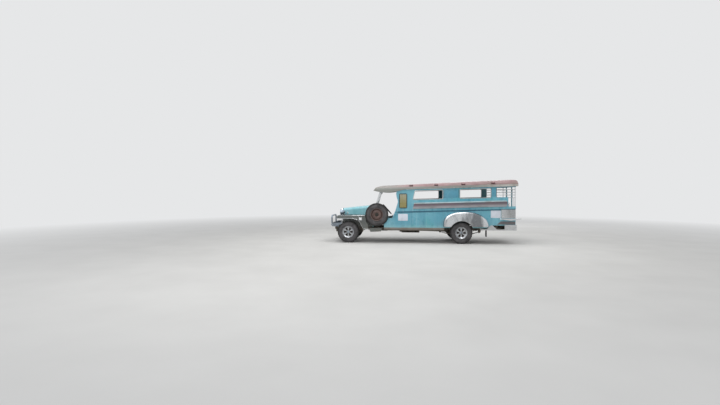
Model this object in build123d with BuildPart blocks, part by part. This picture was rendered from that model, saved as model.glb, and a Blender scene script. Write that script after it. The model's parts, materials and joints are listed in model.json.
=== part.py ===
from build123d import *
import os
from math import atan2, cos, degrees, hypot, pi, radians, sin, sqrt, tan

# A long-bodied passenger jeepney, in millimetres. +X is forward, +Y is the vehicle's left, +Z is up.
# The origin is on the ground, at the middle of the length and of the width.

os.makedirs("parts", exist_ok=True)

# Driving dimensions
wheelbase = 3640.0
front_axle_x = 2436.0
rear_axle_x = front_axle_x - wheelbase
front_reach = 3057.0
rear_reach = 3057.0
tyre_radius = 350.0
tyre_width = 205.0
front_track = 1390.0
rear_track = 1450.0
body_half = 850.0
wall = 30.0
belt_step = 22.0
sill_z = 505.0
running_gap = 0.3
seat_gap = 0.3
pad_gap = 1.0
panel_gap = 6.0

# The body's lines climb towards the back by this much for each millimetre
rake = 0.028
rake_x = 600.0
belt_z = 1025.0
window_sill_z = 1402.0
window_top_z = 1685.0
eave_z = 1736.0
cabin_rear_x = -2870.0


def climb(x, z):
    """The height of a raked body line at x, where z is its height at rake_x."""
    return z + rake * (rake_x - x)


def raked(*points):
    """Points of a side view, each lifted by the body's rake."""
    return [(x, climb(x, z)) for x, z in points]


def side_plane(y):
    """A side view at y, drawn in X and Z. Extruding by a positive amount goes towards the vehicle's right."""
    return Plane(origin=(0, y, 0), x_dir=(1, 0, 0), z_dir=(0, -1, 0))


def keep(piece, name):
    """Labels a finished piece and writes it as the node of that name."""
    piece.part.label = name
    export_step(piece.part, f"parts/{name}.step")


# Chassis frame: two pressed side rails, tied by cross members, with the spring hangers under them
rail_y = 360.0
rail_width = 60.0
rail_top = 500.0
rail_depth = 100.0
kick_depth = 78.0
rail_front_x = 2930.0
rail_rear_x = -2740.0
cross_member_length = 70.0
cross_member_walls = 6.0
# Each cross member: its place and its depth, which is shallow where the propeller shaft runs under it
cross_members = (
    (2790.0, 80.0),
    (1850.0, 70.0),
    (900.0, 30.0),
    (60.0, 30.0),
    (-560.0, 30.0),
    (-1860.0, 78.0),
    (-2640.0, 78.0),
)
hanger_wall = 8.0
hanger_length = 56.0
spring_pin_r = 8.0
spring_width = 56.0
leaf_thickness = 8.0
front_spring_half = 430.0
front_spring_sag = 62.0
rear_spring_half = 640.0
rear_spring_sag = 72.0
spring_eye_z = 352.0
spring_eye_r = 20.0
kick_half = 330.0

with BuildPart() as chassis_frame:
    with BuildSketch(side_plane(rail_y + rail_width / 2)):
        with BuildLine():
            Polyline(
                (rail_front_x, rail_top),
                (rail_rear_x, rail_top),
                (rail_rear_x, rail_top - kick_depth),
                (rear_axle_x - kick_half, rail_top - rail_depth),
                (rear_axle_x - kick_half + 120, rail_top - kick_depth),
                (rear_axle_x + kick_half - 120, rail_top - kick_depth),
                (rear_axle_x + kick_half, rail_top - rail_depth),
                (rail_front_x - 120, rail_top - rail_depth),
                (rail_front_x, rail_top - kick_depth),
                close=True,
            )
        make_face()
    extrude(amount=rail_width)
    spring_eyes = (
        front_axle_x + front_spring_half,
        front_axle_x - front_spring_half,
        rear_axle_x + rear_spring_half,
        rear_axle_x - rear_spring_half,
    )
    for side in (-1, 1):
        hanger_y = rail_y + side * (spring_width / 2 + running_gap + hanger_wall / 2)
        with BuildSketch(side_plane(hanger_y + hanger_wall / 2)):
            for eye_x in spring_eyes:
                with Locations((eye_x, (spring_eye_z + rail_top) / 2)):
                    Rectangle(hanger_length, rail_top - spring_eye_z)
                with Locations((eye_x, spring_eye_z)):
                    Circle(hanger_length / 2)
        extrude(amount=hanger_wall)
    with BuildSketch(side_plane(rail_y + spring_width / 2 + hanger_wall)):
        with Locations(*[(eye_x, spring_eye_z) for eye_x in spring_eyes]):
            Circle(spring_pin_r)
    extrude(amount=spring_width + 2 * hanger_wall)
    mirror(about=Plane.XZ)
    for member_walls, mode in ((0.0, Mode.ADD), (cross_member_walls, Mode.SUBTRACT)):
        with BuildSketch(side_plane(rail_y)):
            for member_x, depth in cross_members:
                with Locations((member_x, rail_top - depth / 2)):
                    Rectangle(cross_member_length - 2 * member_walls, depth - 2 * member_walls)
        extrude(amount=2 * rail_y, mode=mode)
keep(chassis_frame, "chassis_frame")


# Leaf springs: concentric leaves that shorten downwards, with an eye rolled at each end
def leaf_pack(axle_x, half_length, sag, leaf_shares):
    """One pair of leaf packs, left and right, under the frame rails."""
    radius = (half_length**2 + sag**2) / (2 * sag)
    centre = (axle_x, spring_eye_z - sag + radius)
    full_turn = degrees(atan2(half_length, radius - sag))
    with BuildPart() as pack:
        with BuildSketch(side_plane(rail_y + spring_width / 2)):
            for leaf, share in enumerate(leaf_shares):
                inner = radius + leaf * leaf_thickness
                turn = full_turn * share
                with BuildLine():
                    over = CenterArc(centre, inner, -90 - turn, 2 * turn)
                    under = CenterArc(centre, inner + leaf_thickness, -90 - turn, 2 * turn)
                    Line(over @ 0, under @ 0)
                    Line(over @ 1, under @ 1)
                make_face()
            with Locations(*[(axle_x + end * half_length, spring_eye_z) for end in (-1, 1)]):
                Circle(spring_eye_r)
            with Locations(*[(axle_x + end * half_length, spring_eye_z) for end in (-1, 1)]):
                Circle(spring_pin_r + running_gap, mode=Mode.SUBTRACT)
        extrude(amount=spring_width)
        mirror(about=Plane.XZ)
    return pack


front_leaf_shares = (1.0, 0.86, 0.68, 0.5, 0.32)
rear_leaf_shares = (1.0, 0.9, 0.76, 0.62, 0.48, 0.32, 0.18)
leaf_springs_front = leaf_pack(front_axle_x, front_spring_half, front_spring_sag, front_leaf_shares)
keep(leaf_springs_front, "leaf_springs_front")
leaf_springs_rear = leaf_pack(rear_axle_x, rear_spring_half, rear_spring_sag, rear_leaf_shares)
keep(leaf_springs_rear, "leaf_springs_rear")

# Front axle: a forged beam on the springs, with a king pin boss at each end
axle_z = tyre_radius
king_pin_y = 545.0
king_pin_r = 12.0
boss_r = 30.0
boss_half = 35.0
beam_half = 30.0
front_spring_top = spring_eye_z - front_spring_sag
with BuildPart() as front_axle:
    with BuildSketch(Plane.YZ.offset(front_axle_x - beam_half)):
        with BuildLine():
            Polyline(
                (king_pin_y, axle_z + beam_half),
                (king_pin_y - 90, axle_z + beam_half),
                (rail_y - 60, axle_z + 10),
                (-rail_y + 60, axle_z + 10),
                (-king_pin_y + 90, axle_z + beam_half),
                (-king_pin_y, axle_z + beam_half),
                (-king_pin_y, axle_z - beam_half),
                (-rail_y - 60, axle_z - beam_half - 10),
                (-rail_y - 50, front_spring_top + pad_gap),
                (-rail_y + 50, front_spring_top + pad_gap),
                (-rail_y + 60, axle_z - 50),
                (rail_y - 60, axle_z - 50),
                (rail_y - 50, front_spring_top + pad_gap),
                (rail_y + 50, front_spring_top + pad_gap),
                (rail_y + 60, axle_z - beam_half - 10),
                (king_pin_y, axle_z - beam_half),
                close=True,
            )
        make_face()
    extrude(amount=2 * beam_half)
    # The webs either side of the beam leave it an I section between the spring pads
    for face_x, inward in ((front_axle_x - beam_half, 1), (front_axle_x + beam_half, -1)):
        with BuildSketch(Plane.YZ.offset(face_x)):
            with Locations((0, axle_z - 20)):
                RectangleRounded(2 * (rail_y - 90), 34, 8)
        extrude(amount=inward * 20, mode=Mode.SUBTRACT)
    for side in (-1, 1):
        with BuildSketch(Plane.XY.offset(axle_z - boss_half)):
            with Locations((front_axle_x, side * king_pin_y)):
                Circle(boss_r)
        extrude(amount=2 * boss_half)
        with BuildSketch(Plane.XY.offset(axle_z - boss_half)):
            with Locations((front_axle_x, side * king_pin_y)):
                Circle(king_pin_r + running_gap)
        extrude(amount=2 * boss_half, mode=Mode.SUBTRACT)
keep(front_axle, "front_axle")

# Steering knuckles: a yoke over the king pin boss, the wheel spindle, the brake backing plate and the track rod arm
yoke_thickness = 20.0
yoke_gap = 2.0
spindle_r = 26.0
front_wheel_y = front_track / 2
rear_wheel_y = rear_track / 2
spindle_out = 30.0
web_y = king_pin_y + boss_r + 4
backing_r = 128.0
backing_y = web_y + 22
backing_wall = 5.0
arm_length = 160.0
arm_width = 34.0
arm_thickness = 14.0
rod_pin_r = 8.0
rod_z = axle_z + 12
rod_eye_half = 13.0
yoke_top = axle_z + boss_half + yoke_gap
yoke_bottom = axle_z - boss_half - yoke_gap

with BuildPart() as knuckle_left:
    for lug_z in (yoke_top, yoke_bottom - yoke_thickness):
        with BuildSketch(Plane.XY.offset(lug_z)):
            with Locations((front_axle_x, king_pin_y)):
                Circle(boss_r)
            with Locations((front_axle_x, (king_pin_y + web_y + yoke_thickness) / 2)):
                Rectangle(2 * boss_r, web_y + yoke_thickness - king_pin_y)
        extrude(amount=yoke_thickness)
    with BuildSketch(Plane.XY.offset(yoke_bottom - yoke_thickness)):
        with Locations((front_axle_x, king_pin_y)):
            Circle(king_pin_r)
    extrude(amount=yoke_top - yoke_bottom + 2 * yoke_thickness)
    with BuildSketch(side_plane(web_y + yoke_thickness)):
        with Locations((front_axle_x, axle_z)):
            Rectangle(2 * boss_r, yoke_top - yoke_bottom + 2 * yoke_thickness)
    extrude(amount=yoke_thickness)
    with BuildSketch(side_plane(backing_y)):
        with Locations((front_axle_x, axle_z)):
            Circle(backing_r)
    extrude(amount=backing_wall)
    with BuildSketch(side_plane(front_wheel_y + spindle_out)):
        with Locations((front_axle_x, axle_z)):
            Circle(spindle_r)
    extrude(amount=front_wheel_y + spindle_out - web_y)
    with BuildSketch(Plane.XY.offset(yoke_top)):
        with Locations((front_axle_x - arm_length / 2, king_pin_y)):
            SlotCenterToCenter(arm_length, arm_width)
    extrude(amount=arm_thickness)
    with BuildSketch(Plane.XY.offset(rod_z - rod_eye_half)):
        with Locations((front_axle_x - arm_length, king_pin_y)):
            Circle(rod_pin_r)
    extrude(amount=yoke_top - rod_z + rod_eye_half)
keep(knuckle_left, "knuckle_left")
with BuildPart() as knuckle_right:
    add(knuckle_left.part.mirror(Plane.XZ))
keep(knuckle_right, "knuckle_right")

# Track rod: an eye round each arm's pin, with the rod between them
rod_r = 9.5
rod_eye_r = 19.0
with BuildPart() as tie_rod:
    with BuildSketch(side_plane(king_pin_y - rod_eye_r + 4)):
        with Locations((front_axle_x - arm_length, rod_z)):
            Circle(rod_r)
    extrude(amount=2 * (king_pin_y - rod_eye_r + 4))
    with BuildSketch(Plane.XY.offset(rod_z - rod_eye_half)):
        with Locations(*[(front_axle_x - arm_length, side * king_pin_y) for side in (-1, 1)]):
            Circle(rod_eye_r)
            Circle(rod_pin_r + running_gap, mode=Mode.SUBTRACT)
    extrude(amount=2 * rod_eye_half - 2)
keep(tie_rod, "tie_rod")

# Rear axle: a banjo housing with its differential, on the rear springs
housing_r = 42.0
banjo_r = 132.0
rear_spring_top = spring_eye_z - rear_spring_sag
rear_backing_y = rear_wheel_y - 78
with BuildPart() as rear_axle:
    with BuildSketch(side_plane(rear_backing_y)):
        with Locations((rear_axle_x, axle_z)):
            Circle(housing_r)
    extrude(amount=2 * rear_backing_y)
    with BuildSketch(side_plane(rear_wheel_y + spindle_out)):
        with Locations((rear_axle_x, axle_z)):
            Circle(spindle_r)
    extrude(amount=2 * (rear_wheel_y + spindle_out))
    with BuildSketch(Plane.XY.offset(axle_z)):
        with BuildLine():
            bulge = ThreePointArc(
                (rear_axle_x, -banjo_r * 1.5), (rear_axle_x + banjo_r, 0), (rear_axle_x, banjo_r * 1.5)
            )
            Line(bulge @ 0, bulge @ 1)
        make_face()
    revolve(axis=Axis((rear_axle_x, 0, axle_z), (0, 1, 0)))
    with BuildSketch(Plane.YZ.offset(rear_axle_x + banjo_r - 40)):
        with Locations((0, axle_z)):
            Circle(62)
    extrude(amount=95, taper=12)
    for side in (-1, 1):
        with BuildSketch(Plane.XY.offset(rear_spring_top + pad_gap)):
            with Locations((rear_axle_x, side * rail_y)):
                RectangleRounded(120, spring_width + 14, 8)
        extrude(amount=axle_z - rear_spring_top - pad_gap)
        with BuildSketch(side_plane(side * (rear_backing_y - backing_wall / 2) + backing_wall / 2)):
            with Locations((rear_axle_x, axle_z)):
                Circle(backing_r)
        extrude(amount=backing_wall)
keep(rear_axle, "rear_axle")

# Road wheels: tyre, and a six-window alloy rim that carries the brake drum and turns on the spindle
rim_bead_r = 188.0
rim_flange_r = 204.0
rim_half = 84.0
rim_wall = 7.0
rim_well_r = 160.0
disc_offset = 46.0
disc_wall = 16.0
window_count = 6
hub_r = 52.0
hub_cap_r = 34.0
drum_r = 134.0
drum_wall = 9.0
drum_face = 14.0
window_inner_r = 68.0
window_outer_r = 138.0
window_inner_half = 15.0
window_outer_half = 33.0
carcass = 15.0


def tyre(centre, radius, width, bead_r, bead_half, flange_r):
    """A tyre round the Y axis through centre: crowned tread, rounded shoulders, bulged walls and open beads."""
    x, y, z = centre
    tread_half = width * 0.38
    crown = radius * 0.012
    shoulder_r = radius - 16
    bulge_r = (bead_r + radius) / 2 - 6
    with BuildPart() as ring:
        with BuildSketch(Plane(origin=(x, y, z), x_dir=(1, 0, 0), z_dir=(0, 0, 1))):
            with BuildLine():
                ThreePointArc((radius - crown, -tread_half), (radius, 0), (radius - crown, tread_half))
                for side in (-1, 1):
                    ThreePointArc(
                        (radius - crown, side * tread_half),
                        (radius - 6 - crown, side * (tread_half + 11)),
                        (shoulder_r - crown, side * (tread_half + 16)),
                    )
                    ThreePointArc(
                        (shoulder_r - crown, side * (tread_half + 16)),
                        (bulge_r + 8, side * width / 2),
                        (flange_r + 4, side * bead_half),
                    )
                    Polyline(
                        (flange_r + 4, side * bead_half),
                        (bead_r, side * bead_half),
                        (bead_r, side * (bead_half - carcass)),
                    )
                    ThreePointArc(
                        (bead_r, side * (bead_half - carcass)),
                        (bulge_r, side * (width / 2 - carcass)),
                        (radius - crown - carcass, side * (tread_half - 2)),
                    )
                Line(
                    (radius - crown - carcass, -tread_half + 2), (radius - crown - carcass, tread_half - 2)
                )
            make_face()
        revolve(axis=Axis(centre, (0, 1, 0)))
    return ring


def barrel(bead_r, flange_r, half, well_r):
    """The corners of a rim's barrel in section: two flanges, two bead seats and the well."""
    return (
        (flange_r, -half),
        (flange_r, -half + rim_wall),
        (bead_r - seat_gap, -half + rim_wall),
        (bead_r - seat_gap, -half + 34),
        (well_r + rim_wall, -half + 50),
        (well_r + rim_wall, half - 74),
        (bead_r - seat_gap, half - 58),
        (bead_r - seat_gap, half - rim_wall),
        (flange_r, half - rim_wall),
        (flange_r, half),
        (bead_r - rim_wall, half),
        (bead_r - rim_wall, half - 60),
        (well_r, half - 76),
        (well_r, -half + 48),
        (bead_r - rim_wall, -half + 32),
        (bead_r - rim_wall, -half),
    )


def window_shape():
    """One window of an alloy rim: narrow by the hub and rounded at its outer end."""
    with BuildSketch() as window:
        with BuildLine():
            FilletPolyline(
                (window_inner_r, -window_inner_half),
                (window_outer_r - 12, -window_outer_half),
                (window_outer_r, 0),
                (window_outer_r - 12, window_outer_half),
                (window_inner_r, window_inner_half),
                radius=8,
                close=True,
            )
        make_face()
    return window.sketch


def alloy_rim(centre, side):
    """The road wheel's rim: side is 1 where its face looks to +Y and -1 where it looks to -Y."""
    x, y, z = centre
    with BuildPart() as rim:
        with BuildSketch(Plane(origin=(x, y, z), x_dir=(1, 0, 0), z_dir=(0, 0, 1))):
            with BuildLine():
                Polyline(*barrel(rim_bead_r, rim_flange_r, rim_half, rim_well_r), close=True)
            make_face()
        revolve(axis=Axis(centre, (0, 1, 0)))
        # The dished face from the bead seat in to the hub, and the brake drum that turns behind it
        with BuildSketch(Plane(origin=(x, y, z), x_dir=(1, 0, 0), z_dir=(0, 0, 1))):
            with BuildLine():
                Polyline(
                    (rim_bead_r - rim_wall / 2, side * (rim_half - 8)),
                    (rim_bead_r - 26, side * (disc_offset + 12)),
                    (window_outer_r + 6, side * disc_offset),
                    (window_inner_r - 4, side * (disc_offset - 2)),
                    (hub_r, side * (disc_offset + 10)),
                    (hub_cap_r, side * (disc_offset + 12)),
                    (hub_cap_r - 8, side * (disc_offset + 24)),
                    (0, side * (disc_offset + 26)),
                    (0, side * (spindle_out + 4)),
                    (spindle_r + running_gap, side * (spindle_out + 4)),
                    (spindle_r + running_gap, side * -44),
                    (hub_r - 4, side * -44),
                    (hub_r - 4, side * (drum_face - drum_wall)),
                    (drum_r, side * (drum_face - drum_wall)),
                    (drum_r, side * -62),
                    (drum_r + drum_wall, side * -62),
                    (drum_r + drum_wall, side * (drum_face - 6)),
                    (drum_r + drum_wall - 6, side * drum_face),
                    (hub_r + 6, side * drum_face),
                    (hub_r + 6, side * (disc_offset - disc_wall)),
                    (rim_bead_r - 32, side * (disc_offset - disc_wall)),
                    (rim_bead_r - rim_wall / 2, side * (rim_half - 30)),
                    close=True,
                )
            make_face()
        revolve(axis=Axis(centre, (0, 1, 0)))
        # The windows between the spokes, right through the face
        with BuildSketch(Plane(origin=(x, y + side * (disc_offset + 30), z), x_dir=(1, 0, 0), z_dir=(0, side, 0))):
            with PolarLocations(0, window_count):
                add(window_shape())
        extrude(amount=-(30 + disc_wall + 4), mode=Mode.SUBTRACT)
        with BuildSketch(Plane(origin=(x, y + side * (disc_offset + 30), z), x_dir=(1, 0, 0), z_dir=(0, side, 0))):
            with PolarLocations(44, window_count, start_angle=30):
                Circle(5)
        extrude(amount=-22, mode=Mode.ADD)
    return rim


wheel_places = (
    ("front_left", (front_axle_x, front_wheel_y, axle_z), 1),
    ("front_right", (front_axle_x, -front_wheel_y, axle_z), -1),
    ("rear_left", (rear_axle_x, rear_wheel_y, axle_z), 1),
    ("rear_right", (rear_axle_x, -rear_wheel_y, axle_z), -1),
)
for place, centre, side in wheel_places:
    bead_half = rim_half - rim_wall - seat_gap
    road_tyre = tyre(centre, tyre_radius, tyre_width, rim_bead_r, bead_half, rim_flange_r)
    keep(road_tyre, f"tyre_{place}")
    road_rim = alloy_rim(centre, side)
    keep(road_rim, f"rim_{place}")

# Engine with its gearbox, as one closed block, and the radiator in front of it
engine_width = 400.0
engine_front_x = 2470.0
engine_rear_x = 1780.0
engine_bottom = rail_top + 25
engine_top = 985.0
gearbox_rear_x = 1180.0
gearbox_r = 78.0
gearbox_z = 415.0
bell_length = 95.0
with BuildPart() as engine:
    with Locations(((engine_front_x + engine_rear_x) / 2, 0, (engine_bottom + engine_top) / 2)):
        Box(engine_front_x - engine_rear_x, engine_width, engine_top - engine_bottom)
    chamfer(engine.edges().filter_by(Axis.X).group_by(Axis.Z)[-1], 50)
    with BuildSketch(Plane.YZ.offset(gearbox_rear_x)):
        with Locations((0, gearbox_z)):
            Circle(gearbox_r)
    extrude(amount=engine_rear_x - gearbox_rear_x)
    with BuildSketch(Plane.YZ.offset(engine_rear_x - bell_length)):
        with Locations((0, gearbox_z + 130)):
            RectangleRounded(engine_width * 0.7, 380, 70)
    extrude(amount=bell_length)
    with BuildSketch(side_plane(rail_y - rail_width / 2 - 1)):
        with Locations((engine_front_x - 220, rail_top + 45)):
            Rectangle(90, 40)
    extrude(amount=2 * (rail_y - rail_width / 2 - 1))
    with BuildSketch(Plane.XY.offset(rail_top + 0.3)):
        with Locations(*[(engine_front_x - 220, side * (rail_y - 5)) for side in (-1, 1)]):
            Rectangle(90, 52)
    extrude(amount=34)
keep(engine, "engine")

radiator_x = 2590.0
radiator_half = 330.0
radiator_depth = 55.0
radiator_top = 1060.0
with BuildPart() as radiator:
    with BuildSketch(Plane.YZ.offset(radiator_x - radiator_depth / 2)):
        with Locations((0, (radiator_top + rail_top + seat_gap) / 2)):
            RectangleRounded(2 * radiator_half, radiator_top - rail_top - seat_gap, 14)
    extrude(amount=radiator_depth)
keep(radiator, "radiator")

# Propeller shaft, from the gearbox back and down to the differential
shaft_r = 38.0
pinion_x = rear_axle_x + banjo_r + 55
shaft_start = (gearbox_rear_x - seat_gap, 0.0, gearbox_z)
shaft_end = (pinion_x + seat_gap, 0.0, axle_z)
shaft_run = hypot(shaft_start[0] - shaft_end[0], shaft_start[2] - shaft_end[2])
shaft_lean = degrees(atan2(shaft_start[2] - shaft_end[2], shaft_start[0] - shaft_end[0]))
with BuildPart() as propshaft:
    with BuildSketch(Plane.YZ.offset(shaft_start[0] - 70)):
        with Locations((0, shaft_start[2])):
            Circle(shaft_r + 12)
    extrude(amount=70)
    with BuildSketch(Plane.YZ.offset(shaft_end[0])):
        with Locations((0, shaft_end[2])):
            Circle(shaft_r + 12)
    extrude(amount=70)
    shaft_line = Plane(
        origin=(shaft_end[0] + 40, 0, axle_z + 40 * sin(radians(shaft_lean))),
        x_dir=(0, 1, 0),
        z_dir=(cos(radians(shaft_lean)), 0, sin(radians(shaft_lean))),
    )
    with BuildSketch(shaft_line):
        Circle(shaft_r)
    extrude(amount=shaft_run - 80)
keep(propshaft, "propshaft")

# Fuel tank on the right rail and the exhaust along the same side, out ahead of the rear wheel
tank_front_x = 700.0
tank_length = 620.0
tank_depth = 240.0
tank_width = 300.0
with BuildPart() as fuel_tank:
    with Locations((tank_front_x - tank_length / 2, -(rail_y + 40 + tank_width / 2), 365)):
        Box(tank_length, tank_width, tank_depth)
    fillet(fuel_tank.edges().filter_by(Axis.X), 30)
    with BuildSketch(side_plane(-(rail_y + rail_width / 2 + seat_gap))):
        with Locations(*[(tank_front_x - tank_length / 2 + end * 200, 450) for end in (-1, 1)]):
            Rectangle(40, 60)
    extrude(amount=60)
keep(fuel_tank, "fuel_tank")

exhaust_r = 24.0
exhaust_y = -265.0
exhaust_z = 368.0
muffler_r = 60.0
with BuildPart() as exhaust:
    with BuildLine() as pipe_line:
        FilletPolyline(
            (engine_rear_x + 290, -engine_width / 2 - seat_gap, 640),
            (engine_rear_x + 290, exhaust_y - 5, 640),
            (engine_rear_x + 230, exhaust_y - 5, exhaust_z),
            (-330, exhaust_y, exhaust_z),
            (-420, -640, exhaust_z),
            (-420, -830, exhaust_z),
            radius=55,
        )
    with BuildSketch(Plane(origin=pipe_line.line @ 0, z_dir=pipe_line.line % 0)):
        Circle(exhaust_r)
    sweep()
    with BuildSketch(Plane.YZ.offset(250)):
        with Locations((exhaust_y, exhaust_z - 22)):
            Circle(muffler_r)
    extrude(amount=520)
keep(exhaust, "exhaust")

# Floor: a plate on the rails, with a round housing over each rear wheel
floor_top = 600.0
floor_wall = 18.0
arch_r = 392.0
house_wall = 10.0
bearer_x = (1190.0, 700.0, 160.0, -390.0, -730.0, -1790.0, -2290.0, -2690.0)
bearer_width = 60.0
bearer_inset = 12.0
side_inner = body_half - belt_step - wall
house_inner_y = rear_wheel_y - tyre_width / 2 - 22
cowl_half = 612.0
cowl_wall = 14.0
cowl_rear_x = 1115.0
firewall_x = 1640.0
rear_wall_x = cabin_rear_x + wall
side_front_x = 1259.0
return_wall = 12.0
return_gap = 4.0
wide_floor_x = side_front_x - return_gap - return_wall
with BuildPart() as floor:
    with BuildSketch(Plane.XY.offset(floor_top - floor_wall)):
        with Locations(((rear_wall_x + wide_floor_x) / 2, 0)):
            Rectangle(wide_floor_x - rear_wall_x - 2 * seat_gap, 2 * (side_inner - seat_gap))
        with Locations((firewall_x - cowl_wall - seat_gap, 0)):
            Rectangle(firewall_x - wide_floor_x, 2 * cowl_half, align=(Align.MAX, Align.CENTER))
    extrude(amount=floor_wall)
    for side in (-1, 1):
        house_y = side * (house_inner_y + side_inner - seat_gap) / 2
        house_width = side_inner - seat_gap - house_inner_y
        with BuildSketch(side_plane(house_y + house_width / 2)):
            with Locations((rear_axle_x, axle_z)):
                Circle(arch_r + house_wall)
            with Locations((rear_axle_x, axle_z - arch_r + floor_top - floor_wall - axle_z)):
                Rectangle(2 * arch_r + 40, 2 * arch_r, mode=Mode.SUBTRACT)
        extrude(amount=house_width)
        with BuildSketch(side_plane(house_y + side * house_wall + house_width / 2)):
            with Locations((rear_axle_x, axle_z)):
                Circle(arch_r)
        extrude(amount=house_width, mode=Mode.SUBTRACT)
keep(floor, "floor")

# Bearers that carry the floor across the frame rails
with BuildPart() as floor_bearers:
    with BuildSketch(Plane.XY.offset(rail_top + seat_gap)):
        with Locations(*[(x, 0) for x in bearer_x]):
            Rectangle(bearer_width, 2 * (side_inner - bearer_inset))
    extrude(amount=floor_top - floor_wall - rail_top - 2 * seat_gap)
keep(floor_bearers, "floor_bearers")

# Body sides: an upper panel with the two window openings, and a lower one set in under the belt
spare_x = 1491.0
spare_z = 926.0
spare_y = 838.0
spare_r = 372.0
spare_width = 186.0
notch_r = spare_r + 14
door_sill_z = 811.0
side_bottom = 509.0
tail_rise_x = -1990.0
window_corner = 34.0
notch_low = spare_z - sqrt(notch_r**2 - (spare_x - side_front_x) ** 2)
notch_high = spare_x - sqrt(notch_r**2 - (spare_z - door_sill_z) ** 2)
door_edge = ((1001.0, door_sill_z), (934.0, 944.0), (809.0, 1335.0), (868.0, 1600.0), (840.0, 1690.0))
window_spans = ((333.0, -613.0, 70.0), (-1151.0, -2106.0, 0.0))
rear_window = (-2285.0, cabin_rear_x - 1)
low_window_x = -2640.0
low_window_z = 1108.0


def body_side(side):
    """One body side; side is 1 for the left and -1 for the right."""
    upper_y = body_half if side > 0 else -body_half + wall
    lower_y = body_half - belt_step if side > 0 else -body_half + belt_step + wall
    with BuildPart() as panel:
        with BuildSketch(side_plane(lower_y)):
            with BuildLine():
                Polyline(
                    (notch_high, door_sill_z),
                    (door_edge[0][0], door_sill_z),
                    (door_edge[1][0], door_edge[1][1]),
                    *raked((700.0, belt_z + 12), (cabin_rear_x, belt_z + 12)),
                    (cabin_rear_x, floor_top),
                    (tail_rise_x - 160, floor_top),
                    (tail_rise_x, side_bottom),
                    (side_front_x, side_bottom),
                    (side_front_x, notch_low),
                )
                ThreePointArc(
                    (side_front_x, notch_low),
                    (
                        spare_x - notch_r * cos(radians(35)),
                        spare_z - notch_r * sin(radians(35)),
                    ),
                    (notch_high, door_sill_z),
                )
            make_face()
            with Locations((rear_axle_x, axle_z)):
                Circle(arch_r, mode=Mode.SUBTRACT)
        extrude(amount=wall)
        with BuildSketch(side_plane(upper_y)):
            with BuildLine():
                Line(door_edge[0], door_edge[1])
                Line(door_edge[1], door_edge[2])
                ThreePointArc(door_edge[2], (848.0, 1480.0), door_edge[3])
                Polyline(
                    door_edge[3],
                    door_edge[4],
                    *raked((600.0, eave_z + 40), (cabin_rear_x, eave_z + 40)),
                    *raked((cabin_rear_x, belt_z), (740.0, belt_z)),
                )
                Line((740.0, climb(740.0, belt_z)), (890.0, 930.0))
                Line((890.0, 930.0), door_edge[0])
            make_face()
            for front_x, back_x, slant in window_spans:
                with BuildLine():
                    FilletPolyline(
                        *raked(
                            (front_x, window_sill_z),
                            (front_x - slant, window_top_z),
                            (back_x, window_top_z),
                            (back_x, window_sill_z),
                        ),
                        radius=window_corner,
                        close=True,
                    )
                make_face(mode=Mode.SUBTRACT)
            with BuildLine():
                Polyline(
                    *raked(
                        (rear_window[0], window_sill_z),
                        (rear_window[0], window_top_z + 30),
                        (rear_window[1], window_top_z + 30),
                        (rear_window[1], low_window_z),
                        (low_window_x, low_window_z),
                        (low_window_x, window_sill_z),
                    ),
                    close=True,
                )
            make_face(mode=Mode.SUBTRACT)
        extrude(amount=wall)
    return panel


for side_name, side in (("left", 1), ("right", -1)):
    side_panel = body_side(side)
    keep(side_panel, f"body_side_{side_name}")

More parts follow.
